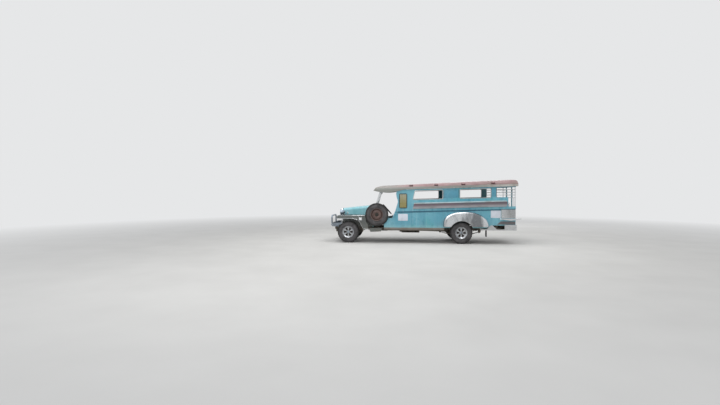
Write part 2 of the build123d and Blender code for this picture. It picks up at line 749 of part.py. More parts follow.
# Cowl: the firewall, the narrow sides that carry the spare wheel, the shelf under the windscreen and the dash
cowl_top_z = 1222.0
screen_base_x = 1566.0
screen_base_z = 1258.0
shelf_rear_x = 1470.0
dash_z = 1010.0
hinge_x = 1652.0
hinge_z = 1232.0
hinge_y = 300.0
hinge_pin_r = 6.0
hinge_barrel_r = 12.0
hinge_half = 30.0
cowl_bottom = rail_top + seat_gap
with BuildPart() as cowl:
    with BuildSketch(side_plane(cowl_half)) as cowl_outline:
        with BuildLine():
            Polyline(
                (firewall_x, cowl_bottom),
                (firewall_x, cowl_top_z),
                (screen_base_x + 18, screen_base_z),
                (shelf_rear_x, screen_base_z),
                (shelf_rear_x - 6, dash_z),
                (1405, 930),
                (1370, door_sill_z),
                (cowl_rear_x, door_sill_z),
                (cowl_rear_x, floor_top + seat_gap),
                (firewall_x - cowl_wall, floor_top + seat_gap),
                (firewall_x - cowl_wall, cowl_bottom),
                close=True,
            )
        make_face()
    extrude(amount=2 * cowl_half)
    with BuildSketch(side_plane(cowl_half - cowl_wall)):
        with BuildLine():
            Polyline(
                (firewall_x - cowl_wall, cowl_bottom - 10),
                (firewall_x - cowl_wall, cowl_top_z - cowl_wall),
                (screen_base_x + 10, screen_base_z - cowl_wall),
                (shelf_rear_x + cowl_wall, screen_base_z - cowl_wall),
                (shelf_rear_x + cowl_wall - 6, dash_z - 20),
                (cowl_rear_x - 20, dash_z - 20),
                (cowl_rear_x - 20, cowl_bottom - 10),
                close=True,
            )
        make_face()
    extrude(amount=2 * (cowl_half - cowl_wall), mode=Mode.SUBTRACT)
    # Return panels behind the spare wheel, out to the body sides
    for side in (-1, 1):
        return_y = cowl_half if side < 0 else side_inner - seat_gap
        return_width = side_inner - seat_gap - cowl_half
        with BuildSketch(side_plane(-cowl_half if side < 0 else return_y)):
            with BuildLine():
                sweeps = []
                for back in (return_gap, return_gap + return_wall):
                    reach = notch_r + back
                    sweep_line = ThreePointArc(
                        (side_front_x - back, notch_low),
                        (spare_x - reach * cos(radians(35)), spare_z - reach * sin(radians(35))),
                        (notch_high - back, door_sill_z),
                    )
                    sweeps.append(sweep_line)
                Line(sweeps[0] @ 1, sweeps[1] @ 1)
                Polyline(
                    sweeps[0] @ 0,
                    (side_front_x - return_gap, side_bottom),
                    (side_front_x - return_gap - return_wall, side_bottom),
                    sweeps[1] @ 0,
                )
            make_face()
        extrude(amount=return_width)
    # Hinge pins for the hood, each held by two cheeks on the shelf's front edge
    for side in (-1, 1):
        for cheek in (-1, 1):
            cheek_y = side * hinge_y + cheek * (hinge_half + 5)
            with BuildSketch(side_plane(cheek_y + 4)):
                with Locations((hinge_x, hinge_z)):
                    Circle(hinge_barrel_r)
                with BuildLine():
                    Polyline(
                        (hinge_x - 2, hinge_z + hinge_barrel_r - 1),
                        (hinge_x - 70, hinge_z + 6),
                        (hinge_x - 70, hinge_z - 12),
                        (firewall_x, cowl_top_z - 20),
                        (hinge_x, hinge_z - hinge_barrel_r + 1),
                        close=True,
                    )
                make_face()
            extrude(amount=8)
        with BuildSketch(side_plane(side * hinge_y + hinge_half + 6)):
            with Locations((hinge_x, hinge_z)):
                Circle(hinge_pin_r)
        extrude(amount=2 * hinge_half + 12)
keep(cowl, "cowl")

# Hood: a tapering pressed shell over the engine, on two barrels round the hinge pins
hood_front_x = 2655.0
hood_front_top = 1120.0
hood_rear_top = 1222.0
hood_front_half = 395.0
hood_rear_half = 520.0
hood_bottom = 906.0
hood_wall = 9.0
hood_rear_x = hinge_x + 16
hood_crown = 16.0
shoulder_r = 70.0
hood_rake = 52.0


def hood_section(x, half, top, corner):
    """The hood's cross section at x: flat sides, rounded shoulders and a crowned top."""
    with BuildSketch(Plane.YZ.offset(x)) as section:
        with BuildLine():
            Polyline((-half, top - corner), (-half, hood_bottom), (half, hood_bottom), (half, top - corner))
            ThreePointArc(
                (half, top - corner), (half - corner * 0.29, top - corner * 0.29), (half - corner, top)
            )
            ThreePointArc((half - corner, top), (0, top + hood_crown), (-half + corner, top))
            ThreePointArc(
                (-half + corner, top), (-half + corner * 0.29, top - corner * 0.29), (-half, top - corner)
            )
        make_face()
    return section.sketch


with BuildPart() as hood_core:
    add(hood_section(hood_rear_x - 1, hood_rear_half - hood_wall, hood_rear_top - hood_crown - hood_wall, shoulder_r - hood_wall))
    add(hood_section(hood_front_x + 1, hood_front_half - hood_wall, hood_front_top - hood_crown - hood_wall, shoulder_r - hood_wall))
    loft()
    with BuildSketch(Plane.XY.offset(hood_bottom + 1)):
        with Locations(((hood_rear_x + hood_front_x) / 2, 0)):
            Rectangle(hood_front_x - hood_rear_x + 2, 2 * (hood_front_half - hood_wall))
    extrude(amount=-20)
with BuildPart() as hood:
    add(hood_section(hood_rear_x, hood_rear_half, hood_rear_top - hood_crown, shoulder_r))
    add(hood_section(hood_front_x, hood_front_half, hood_front_top - hood_crown, shoulder_r))
    loft()
    add(hood_core.part, mode=Mode.SUBTRACT)
    # The front edge leans back below, so that it clears the grille as the hood swings up
    with BuildSketch(side_plane(hood_rear_half)):
        with BuildLine():
            Polyline(
                (hood_front_x - hood_rake, hood_bottom - 1),
                (hood_front_x + 5, hood_bottom - 1),
                (hood_front_x + 5, hood_front_top - shoulder_r),
                (hood_front_x, hood_front_top - shoulder_r),
                close=True,
            )
        make_face()
    extrude(amount=2 * hood_rear_half, mode=Mode.SUBTRACT)
    for side in (-1, 1):
        with BuildSketch(side_plane(side * hinge_y + hinge_half)):
            with Locations((hinge_x, hinge_z)):
                Circle(hinge_barrel_r)
            with BuildLine():
                Polyline(
                    (hinge_x, hinge_z + hinge_barrel_r - 0.5),
                    (hinge_x + 60, hood_rear_top + 1),
                    (hinge_x + 60, hood_rear_top - 12),
                    (hinge_x, hinge_z - hinge_barrel_r + 0.5),
                    close=True,
                )
            make_face()
            with Locations((hinge_x, hinge_z)):
                Circle(hinge_pin_r + running_gap, mode=Mode.SUBTRACT)
        extrude(amount=2 * hinge_half)
keep(hood, "hood")

grille_x = 2668.0
grille_depth = 40.0
grille_half = 405.0

# Front fenders: a flat top, a deep outer skirt that sweeps down behind the wheel, and an inner apron
fender_top = 898.0
fender_wall = 12.0
fender_half = 840.0
fender_front_x = 2801.0
fender_rear_x = 1873.0
fender_inner = 383.0
apron_wall = 6.0
fender_lip = 790.0
apron_z = rail_top + 6
apron_front_x = 2560.0


def front_fender(side):
    """A front fender; side is 1 for the left and -1 for the right."""
    with BuildPart() as fender:
        skirt_y = fender_half if side > 0 else -fender_half + fender_wall
        with BuildSketch(side_plane(skirt_y)):
            with BuildLine():
                lip = Polyline(
                    (fender_rear_x, fender_top),
                    (fender_front_x - 40, fender_top),
                    (fender_front_x, fender_top - 40),
                    (fender_front_x, fender_lip + 12),
                    (2620.0, fender_lip),
                    (2290.0, fender_lip),
                )
                ThreePointArc((2290.0, fender_lip), (2110.0, 745.0), (2026.0, 640.0))
                Polyline(
                    (2026.0, 640.0),
                    (1975.0, 520.0),
                    (1894.0, 448.0),
                    (1760.0, 448.0),
                    (1790.0, 620.0),
                    (fender_rear_x - 30, 690.0),
                    (fender_rear_x, fender_top),
                )
            make_face()
        extrude(amount=fender_wall)
        top_middle = side * (fender_half + fender_inner) / 2
        with BuildSketch(Plane.XY.offset(fender_top - fender_wall)):
            with BuildLine():
                Polyline(
                    (fender_front_x - 40, side * fender_half),
                    (fender_front_x - 40, side * (grille_half + 14)),
                    (grille_x + grille_depth + 8, side * (grille_half + 14)),
                    (grille_x + grille_depth + 8, side * (grille_half + 4)),
                    (grille_x - 4, side * (grille_half + 4)),
                    (grille_x - 4, side * fender_inner),
                    (firewall_x + 4, side * fender_inner),
                    (firewall_x + 4, side * (cowl_half + 20)),
                    (fender_rear_x, side * (cowl_half + 60)),
                    (fender_rear_x, side * fender_half),
                    close=True,
                )
            make_face()
        extrude(amount=fender_wall)
        # The front edge rolls down to the lip
        roll_inner = grille_half + 14
        with BuildSketch(side_plane(fender_half if side > 0 else -roll_inner)):
            with BuildLine():
                Polyline(
                    (fender_front_x - 40, fender_top),
                    (fender_front_x, fender_top - 40),
                    (fender_front_x, fender_lip + 12),
                    (fender_front_x - fender_wall, fender_lip + 12),
                    (fender_front_x - fender_wall, fender_top - 46),
                    (fender_front_x - 46, fender_top - fender_wall),
                    close=True,
                )
            make_face()
        extrude(amount=fender_half - roll_inner)
        # The apron beside the engine, down to the frame rail
        with BuildSketch(side_plane(fender_inner + apron_wall if side > 0 else -fender_inner)):
            with BuildLine():
                Polyline(
                    (firewall_x + 4, fender_top),
                    (grille_x - 4, fender_top),
                    (grille_x - 4, rail_top + seat_gap),
                    (firewall_x + 4, rail_top + seat_gap),
                    close=True,
                )
            make_face()
        extrude(amount=apron_wall)
    return fender


for side_name, side in (("left", 1), ("right", -1)):
    wing = front_fender(side)
    keep(wing, f"front_fender_{side_name}")

# Grille: a pressed shell with upright slots, standing on the frame in front of the radiator
grille_top = 1116.0
grille_bottom = 560.0
grille_wall = 6.0
slot_count = 9
slot_pitch = 66.0
slot_width = 34.0
slot_height = 330.0
slot_z = 850.0
with BuildPart() as grille:
    with BuildSketch(Plane.YZ.offset(grille_x)):
        with Locations((0, (grille_top + grille_bottom) / 2)):
            RectangleRounded(2 * grille_half, grille_top - grille_bottom, 60)
    extrude(amount=grille_depth)
    front_ring = grille.edges().group_by(Axis.X)[-1]
    fillet(front_ring, 14)
    with BuildSketch(Plane.YZ.offset(grille_x - 1)):
        with Locations((0, (grille_top + grille_bottom) / 2)):
            RectangleRounded(2 * (grille_half - grille_wall), grille_top - grille_bottom - 2 * grille_wall, 54)
    extrude(amount=grille_depth - grille_wall + 1, mode=Mode.SUBTRACT)
    with BuildSketch(Plane.YZ.offset(grille_x)):
        with Locations((0, slot_z)):
            with GridLocations(slot_pitch, 0, slot_count, 1):
                SlotOverall(slot_height, slot_width, rotation=90)
    extrude(amount=grille_depth + 1, mode=Mode.SUBTRACT)
    # Feet down to the frame rails
    for side in (-1, 1):
        with Locations((grille_x + grille_wall / 2, side * rail_y, (rail_top + seat_gap + grille_bottom + 30) / 2)):
            Box(grille_wall, 50, grille_bottom + 30 - rail_top - seat_gap)
keep(grille, "grille")

# Headlamps: round buckets on the fenders, each with a rim and a domed lens
lamp_y = 545.0
lamp_z = 992.0
lamp_r = 88.0
lamp_front_x = 2722.0
lamp_depth = 150.0
lens_sphere = 200.0
lens_turn = 22.0
lens_rise = 9.0
with BuildPart() as headlamps:
    with BuildSketch(Plane(origin=(0, lamp_y, lamp_z), x_dir=(1, 0, 0), z_dir=(0, -1, 0))):
        with BuildLine():
            CenterArc((lamp_front_x + lens_rise - lens_sphere, 0), lens_sphere, 0, lens_turn)
            Polyline(
                (
                    lamp_front_x + lens_rise - lens_sphere * (1 - cos(radians(lens_turn))),
                    lens_sphere * sin(radians(lens_turn)),
                ),
                (lamp_front_x, lamp_r - 8),
                (lamp_front_x, lamp_r),
                (lamp_front_x - 26, lamp_r),
                (lamp_front_x - 26, lamp_r - 7),
                (lamp_front_x - 60, lamp_r - 10),
            )
            ThreePointArc(
                (lamp_front_x - 60, lamp_r - 10),
                (lamp_front_x - 110, lamp_r * 0.66),
                (lamp_front_x - lamp_depth, lamp_r * 0.25),
            )
            Polyline(
                (lamp_front_x - lamp_depth, lamp_r * 0.25),
                (lamp_front_x - lamp_depth, 0),
                (lamp_front_x + lens_rise, 0),
            )
        make_face()
    revolve(axis=Axis((0, lamp_y, lamp_z), (1, 0, 0)))
    with BuildSketch(Plane.XY.offset(fender_top + seat_gap)):
        with Locations((lamp_front_x - 62, lamp_y)):
            Circle(30)
    extrude(amount=lamp_z - fender_top - lamp_r + 24)
    mirror(about=Plane.XZ)
keep(headlamps, "headlamps")

# Windscreen: a raked frame with a middle post, and its two panes
screen_lean = 17.0
screen_height = 452.0
screen_half = 648.0
screen_bar = 38.0
screen_depth = 30.0
screen_base_half = 606.0
pane_wall = 6.0
pane_gap = 0.3
screen_plane = Plane(
    origin=(screen_base_x - 22, 0, screen_base_z + seat_gap),
    x_dir=(0, 1, 0),
    z_dir=(cos(radians(screen_lean)), 0, sin(radians(screen_lean))),
)
pane_middle = screen_height / 2
pane_height = screen_height - 2 * screen_bar
pane_width = (2 * screen_base_half - 3 * screen_bar) / 2
pane_y = (pane_width + screen_bar) / 2
with BuildPart() as windscreen_frame:
    with BuildSketch(screen_plane):
        with Locations((0, pane_middle)):
            Rectangle(2 * screen_base_half, screen_height)
        with Locations((-pane_y, pane_middle), (pane_y, pane_middle)):
            RectangleRounded(pane_width, pane_height, 30, mode=Mode.SUBTRACT)
    extrude(amount=-screen_depth)
    with BuildSketch(screen_plane.offset(-screen_depth / 2 - pane_wall / 2 - pane_gap)):
        with Locations((-pane_y, pane_middle), (pane_y, pane_middle)):
            RectangleRounded(pane_width + 16, pane_height + 16, 38)
    extrude(amount=pane_wall + 2 * pane_gap, mode=Mode.SUBTRACT)
    split(bisect_by=Plane.XY.offset(screen_base_z + seat_gap), keep=Keep.TOP)
keep(windscreen_frame, "windscreen_frame")
with BuildPart() as windscreen_glass:
    with BuildSketch(screen_plane.offset(-screen_depth / 2 - pane_wall / 2)):
        with Locations((-pane_y, pane_middle), (pane_y, pane_middle)):
            RectangleRounded(pane_width + 16 - 2 * pane_gap, pane_height + 16 - 2 * pane_gap, 37)
    extrude(amount=pane_wall)
keep(windscreen_glass, "windscreen_glass")

# Steering column and wheel
steer_y = 330.0
column_lean = 41.0
column_r = 19.0
wheel_centre = (1175.0, steer_y, 1085.0)
steer_rim_r = 205.0
steer_grip_r = 13.0
column_plane = Plane(
    origin=wheel_centre,
    x_dir=(0, 1, 0),
    z_dir=(-cos(radians(column_lean)), 0, sin(radians(column_lean))),
)
column_reach = (firewall_x - cowl_wall - wheel_centre[0]) / cos(radians(column_lean))
with BuildPart() as steering_column:
    with BuildSketch(column_plane.offset(-34)):
        Circle(column_r)
    extrude(amount=-(column_reach - 34 - column_r))
    with BuildSketch(side_plane(steer_y + 22)):
        with BuildLine():
            Polyline(
                (shelf_rear_x - 6.3, dash_z + 70),
                (shelf_rear_x - 6.3, dash_z + 8),
                (shelf_rear_x - 32, dash_z + 4),
                (1415.0, 872.0),
                (1388.0, 908.0),
                (shelf_rear_x - 42, dash_z + 70),
                close=True,
            )
        make_face()
    extrude(amount=44)
keep(steering_column, "steering_column")

with BuildPart() as steering_wheel:
    with BuildSketch(Plane(origin=wheel_centre, x_dir=(0, 1, 0), z_dir=column_plane.x_dir.cross(column_plane.z_dir))):
        with Locations((steer_rim_r, 0)):
            Circle(steer_grip_r)
    revolve(axis=Axis(wheel_centre, tuple(column_plane.z_dir)))
    with BuildSketch(column_plane.offset(-28)):
        Circle(34)
    extrude(amount=40)
    with BuildSketch(column_plane.offset(-12)):
        with PolarLocations(steer_rim_r / 2, 3, start_angle=-90):
            Rectangle(steer_rim_r, 26)
    extrude(amount=10)
keep(steering_wheel, "steering_wheel")

# Roof: a long pressed shell that climbs to the back, with a visor lip over the doors and bows across its ceiling
roof_half = 884.0
roof_wall = 26.0
roof_front_x = 1600.0
roof_rear_x = -2936.0
roof_shoulder = 120.0
roof_crown = 26.0
crown_gap = 1.0
roof_lip_z = 1702.0
roof_low_top = 1902.0
roof_high_top = 2062.0
brow_x = 764.0
roof_top = (
    (roof_front_x, roof_lip_z),
    (roof_front_x - 72, roof_lip_z + 98),
    (roof_front_x - 313, roof_low_top - 30),
    (brow_x, roof_low_top),
    (roof_rear_x + 146, roof_high_top),
    (roof_rear_x + 31, roof_high_top - 52),
    (roof_rear_x, roof_high_top - 147),
)
valance_rear = (864.0, 1678.0)
valance_dip = (1220.0, 1642.0)
eave_front_x = 586.0
header_x = 1408.0
bow_depth = 34.0
bow_width = 40.0
bow_x = (600.0, -120.0, -880.0, -1640.0, -2400.0)
roof_slope = degrees(atan2(roof_high_top - roof_low_top, brow_x - roof_rear_x - 146))


def roof_block(inset):
    """The roof's closed outer form, or with an inset the hollow inside it, open below."""
    with BuildPart() as block:
        with BuildSketch(side_plane(roof_half - inset)):
            with BuildLine():
                if inset:
                    lip, brow, front_top, crest, tail_top, tail_turn, tail_end = roof_top
                    Polyline(
                        (lip[0] - inset, 1500.0),
                        (lip[0] - inset, lip[1] - 4),
                        (brow[0] - inset * 0.6, brow[1] - inset),
                        (front_top[0], front_top[1] - inset),
                        (crest[0], crest[1] - inset),
                        (tail_top[0] + inset * 0.2, tail_top[1] - inset),
                        (tail_turn[0] + inset * 0.9, tail_turn[1] - inset * 0.4),
                        (tail_end[0] + inset, tail_end[1] - 3),
                        (tail_end[0] + inset, 1500.0),
                        close=True,
                    )
                else:
                    Polyline(
                        *roof_top,
                        (roof_rear_x, climb(roof_rear_x, eave_z)),
                        (eave_front_x, climb(eave_front_x, eave_z)),
                        valance_rear,
                    )
                    ThreePointArc(valance_rear, valance_dip, roof_top[0])
            make_face()
        extrude(amount=2 * (roof_half - inset))
        # The shoulders follow the roof's climb
        slope_plane = Plane(
            origin=(brow_x, 0, roof_low_top - inset - roof_crown - crown_gap),
            x_dir=(0, -1, 0),
            z_dir=(-cos(radians(roof_slope)), 0, sin(radians(roof_slope))),
        )
        half = roof_half - inset
        corner = roof_shoulder - inset * 0.6
        with BuildSketch(slope_plane.offset(-1200)):
            with BuildLine():
                Polyline((-half, -corner), (-half, -700), (half, -700), (half, -corner))
                ThreePointArc(
                    (half, -corner), (half - corner * 0.34, -corner * 0.32), (half - corner * 1.3, -2)
                )
                ThreePointArc((half - corner * 1.3, -2), (0, roof_crown), (-half + corner * 1.3, -2))
                ThreePointArc(
                    (-half + corner * 1.3, -2), (-half + corner * 0.34, -corner * 0.32), (-half, -corner)
                )
            make_face()
        extrude(amount=5200, mode=Mode.INTERSECT)
    return block


roof_outer = roof_block(0)
roof_inner = roof_block(roof_wall)
screen_top_z = screen_base_z + seat_gap + screen_height * cos(radians(screen_lean))
header_z = screen_top_z + seat_gap
with BuildPart() as bow_slabs:
    with Locations(*[(x, 0, 1900) for x in bow_x]):
        Box(bow_width, 2 * (body_half - wall - 20), 800)
with BuildPart() as roof_bows:
    add(roof_inner.part)
    add(roof_block(roof_wall + bow_depth).part, mode=Mode.SUBTRACT)
    add(bow_slabs.part, mode=Mode.INTERSECT)
with BuildPart() as roof_header:
    with Locations((header_x, 0, header_z + 200)):
        Box(24, 2 * roof_half, 400)
    add(roof_inner.part, mode=Mode.INTERSECT)
with BuildPart() as roof:
    add(roof_outer.part)
    add(roof_inner.part, mode=Mode.SUBTRACT)
    add(roof_bows.part)
    add(roof_header.part)
keep(roof, "roof")

# Rear fenders: long streamlined pods over the rear wheels, hollow behind, with a round wheel opening
pod_half = 940.0
pod_wall = 10.0
pod_bottom = 551.0
pod_edge_r = 62.0
# The pod's outline from its front foot over its crown to its rear foot, each corner rounded into the next
pod_line = (
    (-627.0, pod_bottom),
    (-636.0, 760.0),
    (-745.0, 905.0),
    (-960.0, 1000.0),
    (-1250.0, 1032.0),
    (-1540.0, 1012.0),
    (-1770.0, 940.0),
    (-1955.0, 810.0),
    (-2034.0, 660.0),
    (-2040.0, pod_bottom),
)
pod_inner = body_half - belt_step


def pod_radius(before, corner, after):
    """The radius that rounds a corner over nearly half of its shorter side."""
    back = (before[0] - corner[0], before[1] - corner[1])
    ahead = (after[0] - corner[0], after[1] - corner[1])
    shorter = min(hypot(*back), hypot(*ahead))
    between = abs(atan2(back[1], back[0]) - atan2(ahead[1], ahead[0]))
    return 0.46 * shorter * tan(min(between, 2 * pi - between) / 2)


def pod_outline():
    """The side view of the left rear fender's outer form."""
    with BuildSketch() as outline:
        with BuildLine():
            Polyline(*pod_line, close=True)
        make_face()
        for before, corner, after in zip(pod_line, pod_line[1:], pod_line[2:]):
            near = outline.vertices().sort_by_distance((corner[0], corner[1], 0))[0]
            fillet(near, pod_radius(before, corner, after))
    return outline.sketch


def pod_block(inset):
    """The left rear fender's closed form, or with an inset the hollow inside it."""
    with BuildPart() as block:
        with BuildSketch(side_plane(pod_inner)):
            if inset:
                add(offset(pod_outline(), amount=-inset))
            else:
                add(pod_outline())
        extrude(amount=-(pod_half - pod_inner - inset))
        outer_face = block.faces().sort_by(Axis.Y)[-1]
        rounded = outer_face.edges().sort_by(Axis.Z)[1:]
        fillet(rounded, pod_edge_r - inset)
    return block


pod_outer = pod_block(0)
pod_hollow = pod_block(pod_wall)
with BuildPart() as rear_fender_left:
    add(pod_outer.part)
    add(pod_hollow.part, mode=Mode.SUBTRACT)
    with BuildSketch(side_plane(pod_half + 5)):
        with Locations((rear_axle_x, axle_z)):
            Circle(arch_r - 4)
    extrude(amount=pod_half, mode=Mode.SUBTRACT)
keep(rear_fender_left, "rear_fender_left")
with BuildPart() as rear_fender_right:
    add(rear_fender_left.part.mirror(Plane.XZ))
keep(rear_fender_right, "rear_fender_right")

# Side trim on both sides: the long sign strip under the windows, the sill rail and the framed quarter pane
strip_low = 1108.0
strip_high = 1302.0
strip_front_x = 333.0
strip_rear_x = -2611.0
strip_proud = 24.0
strip_edge = 26.0
strip_edge_proud = 8.0
strip_round = 60.0


def paired(block):
    """Adds the mirror image of a left-hand piece across the vehicle's middle, as a second solid."""
    with BuildPart() as pair:
        add(block.part)
        add(block.part.mirror(Plane.XZ))
    return pair


with BuildPart() as strip:
    for inset, start, depth in ((0.0, body_half + seat_gap + strip_proud, strip_proud),):
        with BuildSketch(side_plane(start)) as strip_outline:
            with BuildLine():
                Polyline(
                    *raked(
                        (strip_front_x, strip_low),
                        (strip_front_x - 40, strip_high),
                        (strip_rear_x, strip_high),
                        (strip_rear_x, strip_low),
                    ),
                    close=True,
                )
            make_face()
            fillet(strip_outline.vertices().group_by(Axis.X)[0], strip_round)
        extrude(amount=depth)
    for low in (strip_low, strip_high - strip_edge):
        with BuildSketch(side_plane(body_half + seat_gap + strip_proud + strip_edge_proud)):
            with BuildLine():
                Polyline(
                    *raked(
                        (strip_front_x - 30, low),
                        (strip_front_x - 44, low + strip_edge),
                        (strip_rear_x + strip_round, low + strip_edge),
                        (strip_rear_x + strip_round, low),
                    ),
                    close=True,
                )
            make_face()
        extrude(amount=strip_edge_proud + 1)
sign_strips = paired(strip)
keep(sign_strips, "sign_strips")

sill_top = side_bottom - seat_gap
sill_bottom = 413.0
sill_rear_x = rear_axle_x + arch_r + 150
sill_y = body_half - belt_step
with BuildPart() as sill:
    with BuildSketch(Plane.YZ.offset(sill_rear_x)):
        with BuildLine():
            FilletPolyline(
                (sill_y - wall, sill_top),
                (sill_y, sill_top),
                (sill_y, sill_bottom + 34),
                (sill_y - 26, sill_bottom),
                (sill_y - 80, sill_bottom),
                (sill_y - 80, sill_bottom + 8),
                (sill_y - 30, sill_bottom + 8),
                (sill_y - 8, sill_bottom + 38),
                (sill_y - 8, sill_top - 8),
                (sill_y - wall, sill_top - 8),
                radius=3,
                close=True,
            )
        make_face()
    extrude(amount=side_front_x - sill_rear_x)
sill_rails = paired(sill)
keep(sill_rails, "sill_rails")

pane_span = (514.0, 771.0)
pane_low = 1133.0
pane_high = 1608.0
pane_frame = 24.0
with BuildPart() as quarter:
    quarter_middle = ((pane_span[0] + pane_span[1]) / 2, (pane_low + pane_high) / 2)
    with BuildSketch(side_plane(body_half + seat_gap + 14)):
        with Locations(quarter_middle):
            RectangleRounded(pane_span[1] - pane_span[0], pane_high - pane_low, 46)
    extrude(amount=14)
    with BuildSketch(side_plane(body_half + seat_gap + 14)):
        with Locations(quarter_middle):
            RectangleRounded(
                pane_span[1] - pane_span[0] - 2 * pane_frame, pane_high - pane_low - 2 * pane_frame, 26
            )
    extrude(amount=6, mode=Mode.SUBTRACT)
quarter_panels = paired(quarter)
keep(quarter_panels, "quarter_panels")

# Side steps under the spare wheel and the far door, each hung from the frame rail
step_front_x = 1743.0
step_rear_x = 1141.0
step_top = 488.0
step_bottom = 362.0
with BuildPart() as step:
    with BuildSketch(side_plane(fender_half)):
        with BuildLine():
            Polyline(
                (step_front_x, step_top),
                (step_front_x - 40, step_bottom),
                (1360.0, step_bottom + 18),
                (1349.0, step_bottom + 50),
                (step_rear_x, step_bottom + 50),
                (step_rear_x, step_bottom + 64),
                (1335.0, step_bottom + 64),
                (1335.0, step_top),
                close=True,
            )
        make_face()
    extrude(amount=10)
    with BuildSketch(side_plane(fender_half)):
        with BuildLine():
            Polyline(
                (step_front_x, step_top),
                (step_front_x - 3, step_top - 9),
                (1335.0, step_top - 9),
                (1335.0, step_top),
                close=True,
            )
        make_face()
    extrude(amount=fender_half - cowl_half + 20)
    with BuildSketch(side_plane(fender_half - 1)):
        with Locations(*[(x, 434.0) for x in (1640.0, 1400.0)]):
            Rectangle(26, 26)
    extrude(amount=fender_half - 1 - rail_y - rail_width / 2 - seat_gap)
side_steps = paired(step)
keep(side_steps, "side_steps")

# Rear: the entrance wall, its posts and header, and chrome bars across the corner openings
entry_half = 345.0
post = 34.0
rear_quarter_top = 1150.0
rear_posts_top = climb(cabin_rear_x, eave_z) + 10
with BuildPart() as rear_frame:
    for side in (-1, 1):
        with BuildSketch(Plane.YZ.offset(cabin_rear_x)):
            with Locations(
                (side * (entry_half + side_inner - seat_gap) / 2, (side_bottom + rear_quarter_top) / 2)
            ):
                Rectangle(side_inner - seat_gap - entry_half, rear_quarter_top - side_bottom)
            with Locations((side * (entry_half + post / 2), (side_bottom + rear_posts_top) / 2)):
                Rectangle(post, rear_posts_top - side_bottom)
        extrude(amount=wall - 2 * seat_gap)
    with BuildSketch(Plane.YZ.offset(cabin_rear_x)):
        with Locations((0, rear_posts_top - post / 2)):
            Rectangle(2 * (body_half - wall - 10), post)
    extrude(amount=wall - 2 * seat_gap)
keep(rear_frame, "rear_frame")

bar_r = 11.0
# Each chrome bar: its height, and where it starts on the body side
bars = ((1474.0, low_window_x), (1560.0, rear_window[0]), (1646.0, rear_window[0]), (1732.0, rear_window[0]))
bar_y = body_half - wall / 2
bar_rear_x = cabin_rear_x - bar_r - seat_gap
corner_post_r = 15.0
with BuildPart() as corner_bars:
    for bar_z, start_x in bars:
        with BuildLine() as bar_line:
            FilletPolyline(
                (start_x - seat_gap, bar_y, bar_z),
                (bar_rear_x, bar_y, bar_z),
                (bar_rear_x, entry_half + post / 2, bar_z),
                radius=70,
            )
        with BuildSketch(Plane(origin=bar_line.line @ 0, z_dir=bar_line.line % 0)):
            Circle(bar_r)
        sweep()
    with BuildSketch(Plane.XY.offset(bars[0][0] - 20)):
        with Locations((bar_rear_x, entry_half + post / 2)):
            Circle(bar_r - 1)
    extrude(amount=bars[-1][0] - bars[0][0] + 40)
    with BuildSketch(Plane.XY.offset(bars[1][0])):
        with Locations((rear_window[0] - 250, bar_y)):
            Circle(bar_r - 3)
    extrude(amount=bars[-1][0] - bars[1][0])
    corner_post_x = cabin_rear_x + corner_post_r + 4
    corner_post_low = climb(cabin_rear_x, low_window_z) + seat_gap
    corner_post_top = climb(corner_post_x + corner_post_r, window_top_z + 30) - seat_gap
    with BuildSketch(Plane.XY.offset(corner_post_low)):
        with Locations((corner_post_x, bar_y)):
            Circle(corner_post_r)
    extrude(amount=corner_post_top - corner_post_low)
keep(paired(corner_bars), "corner_bars")

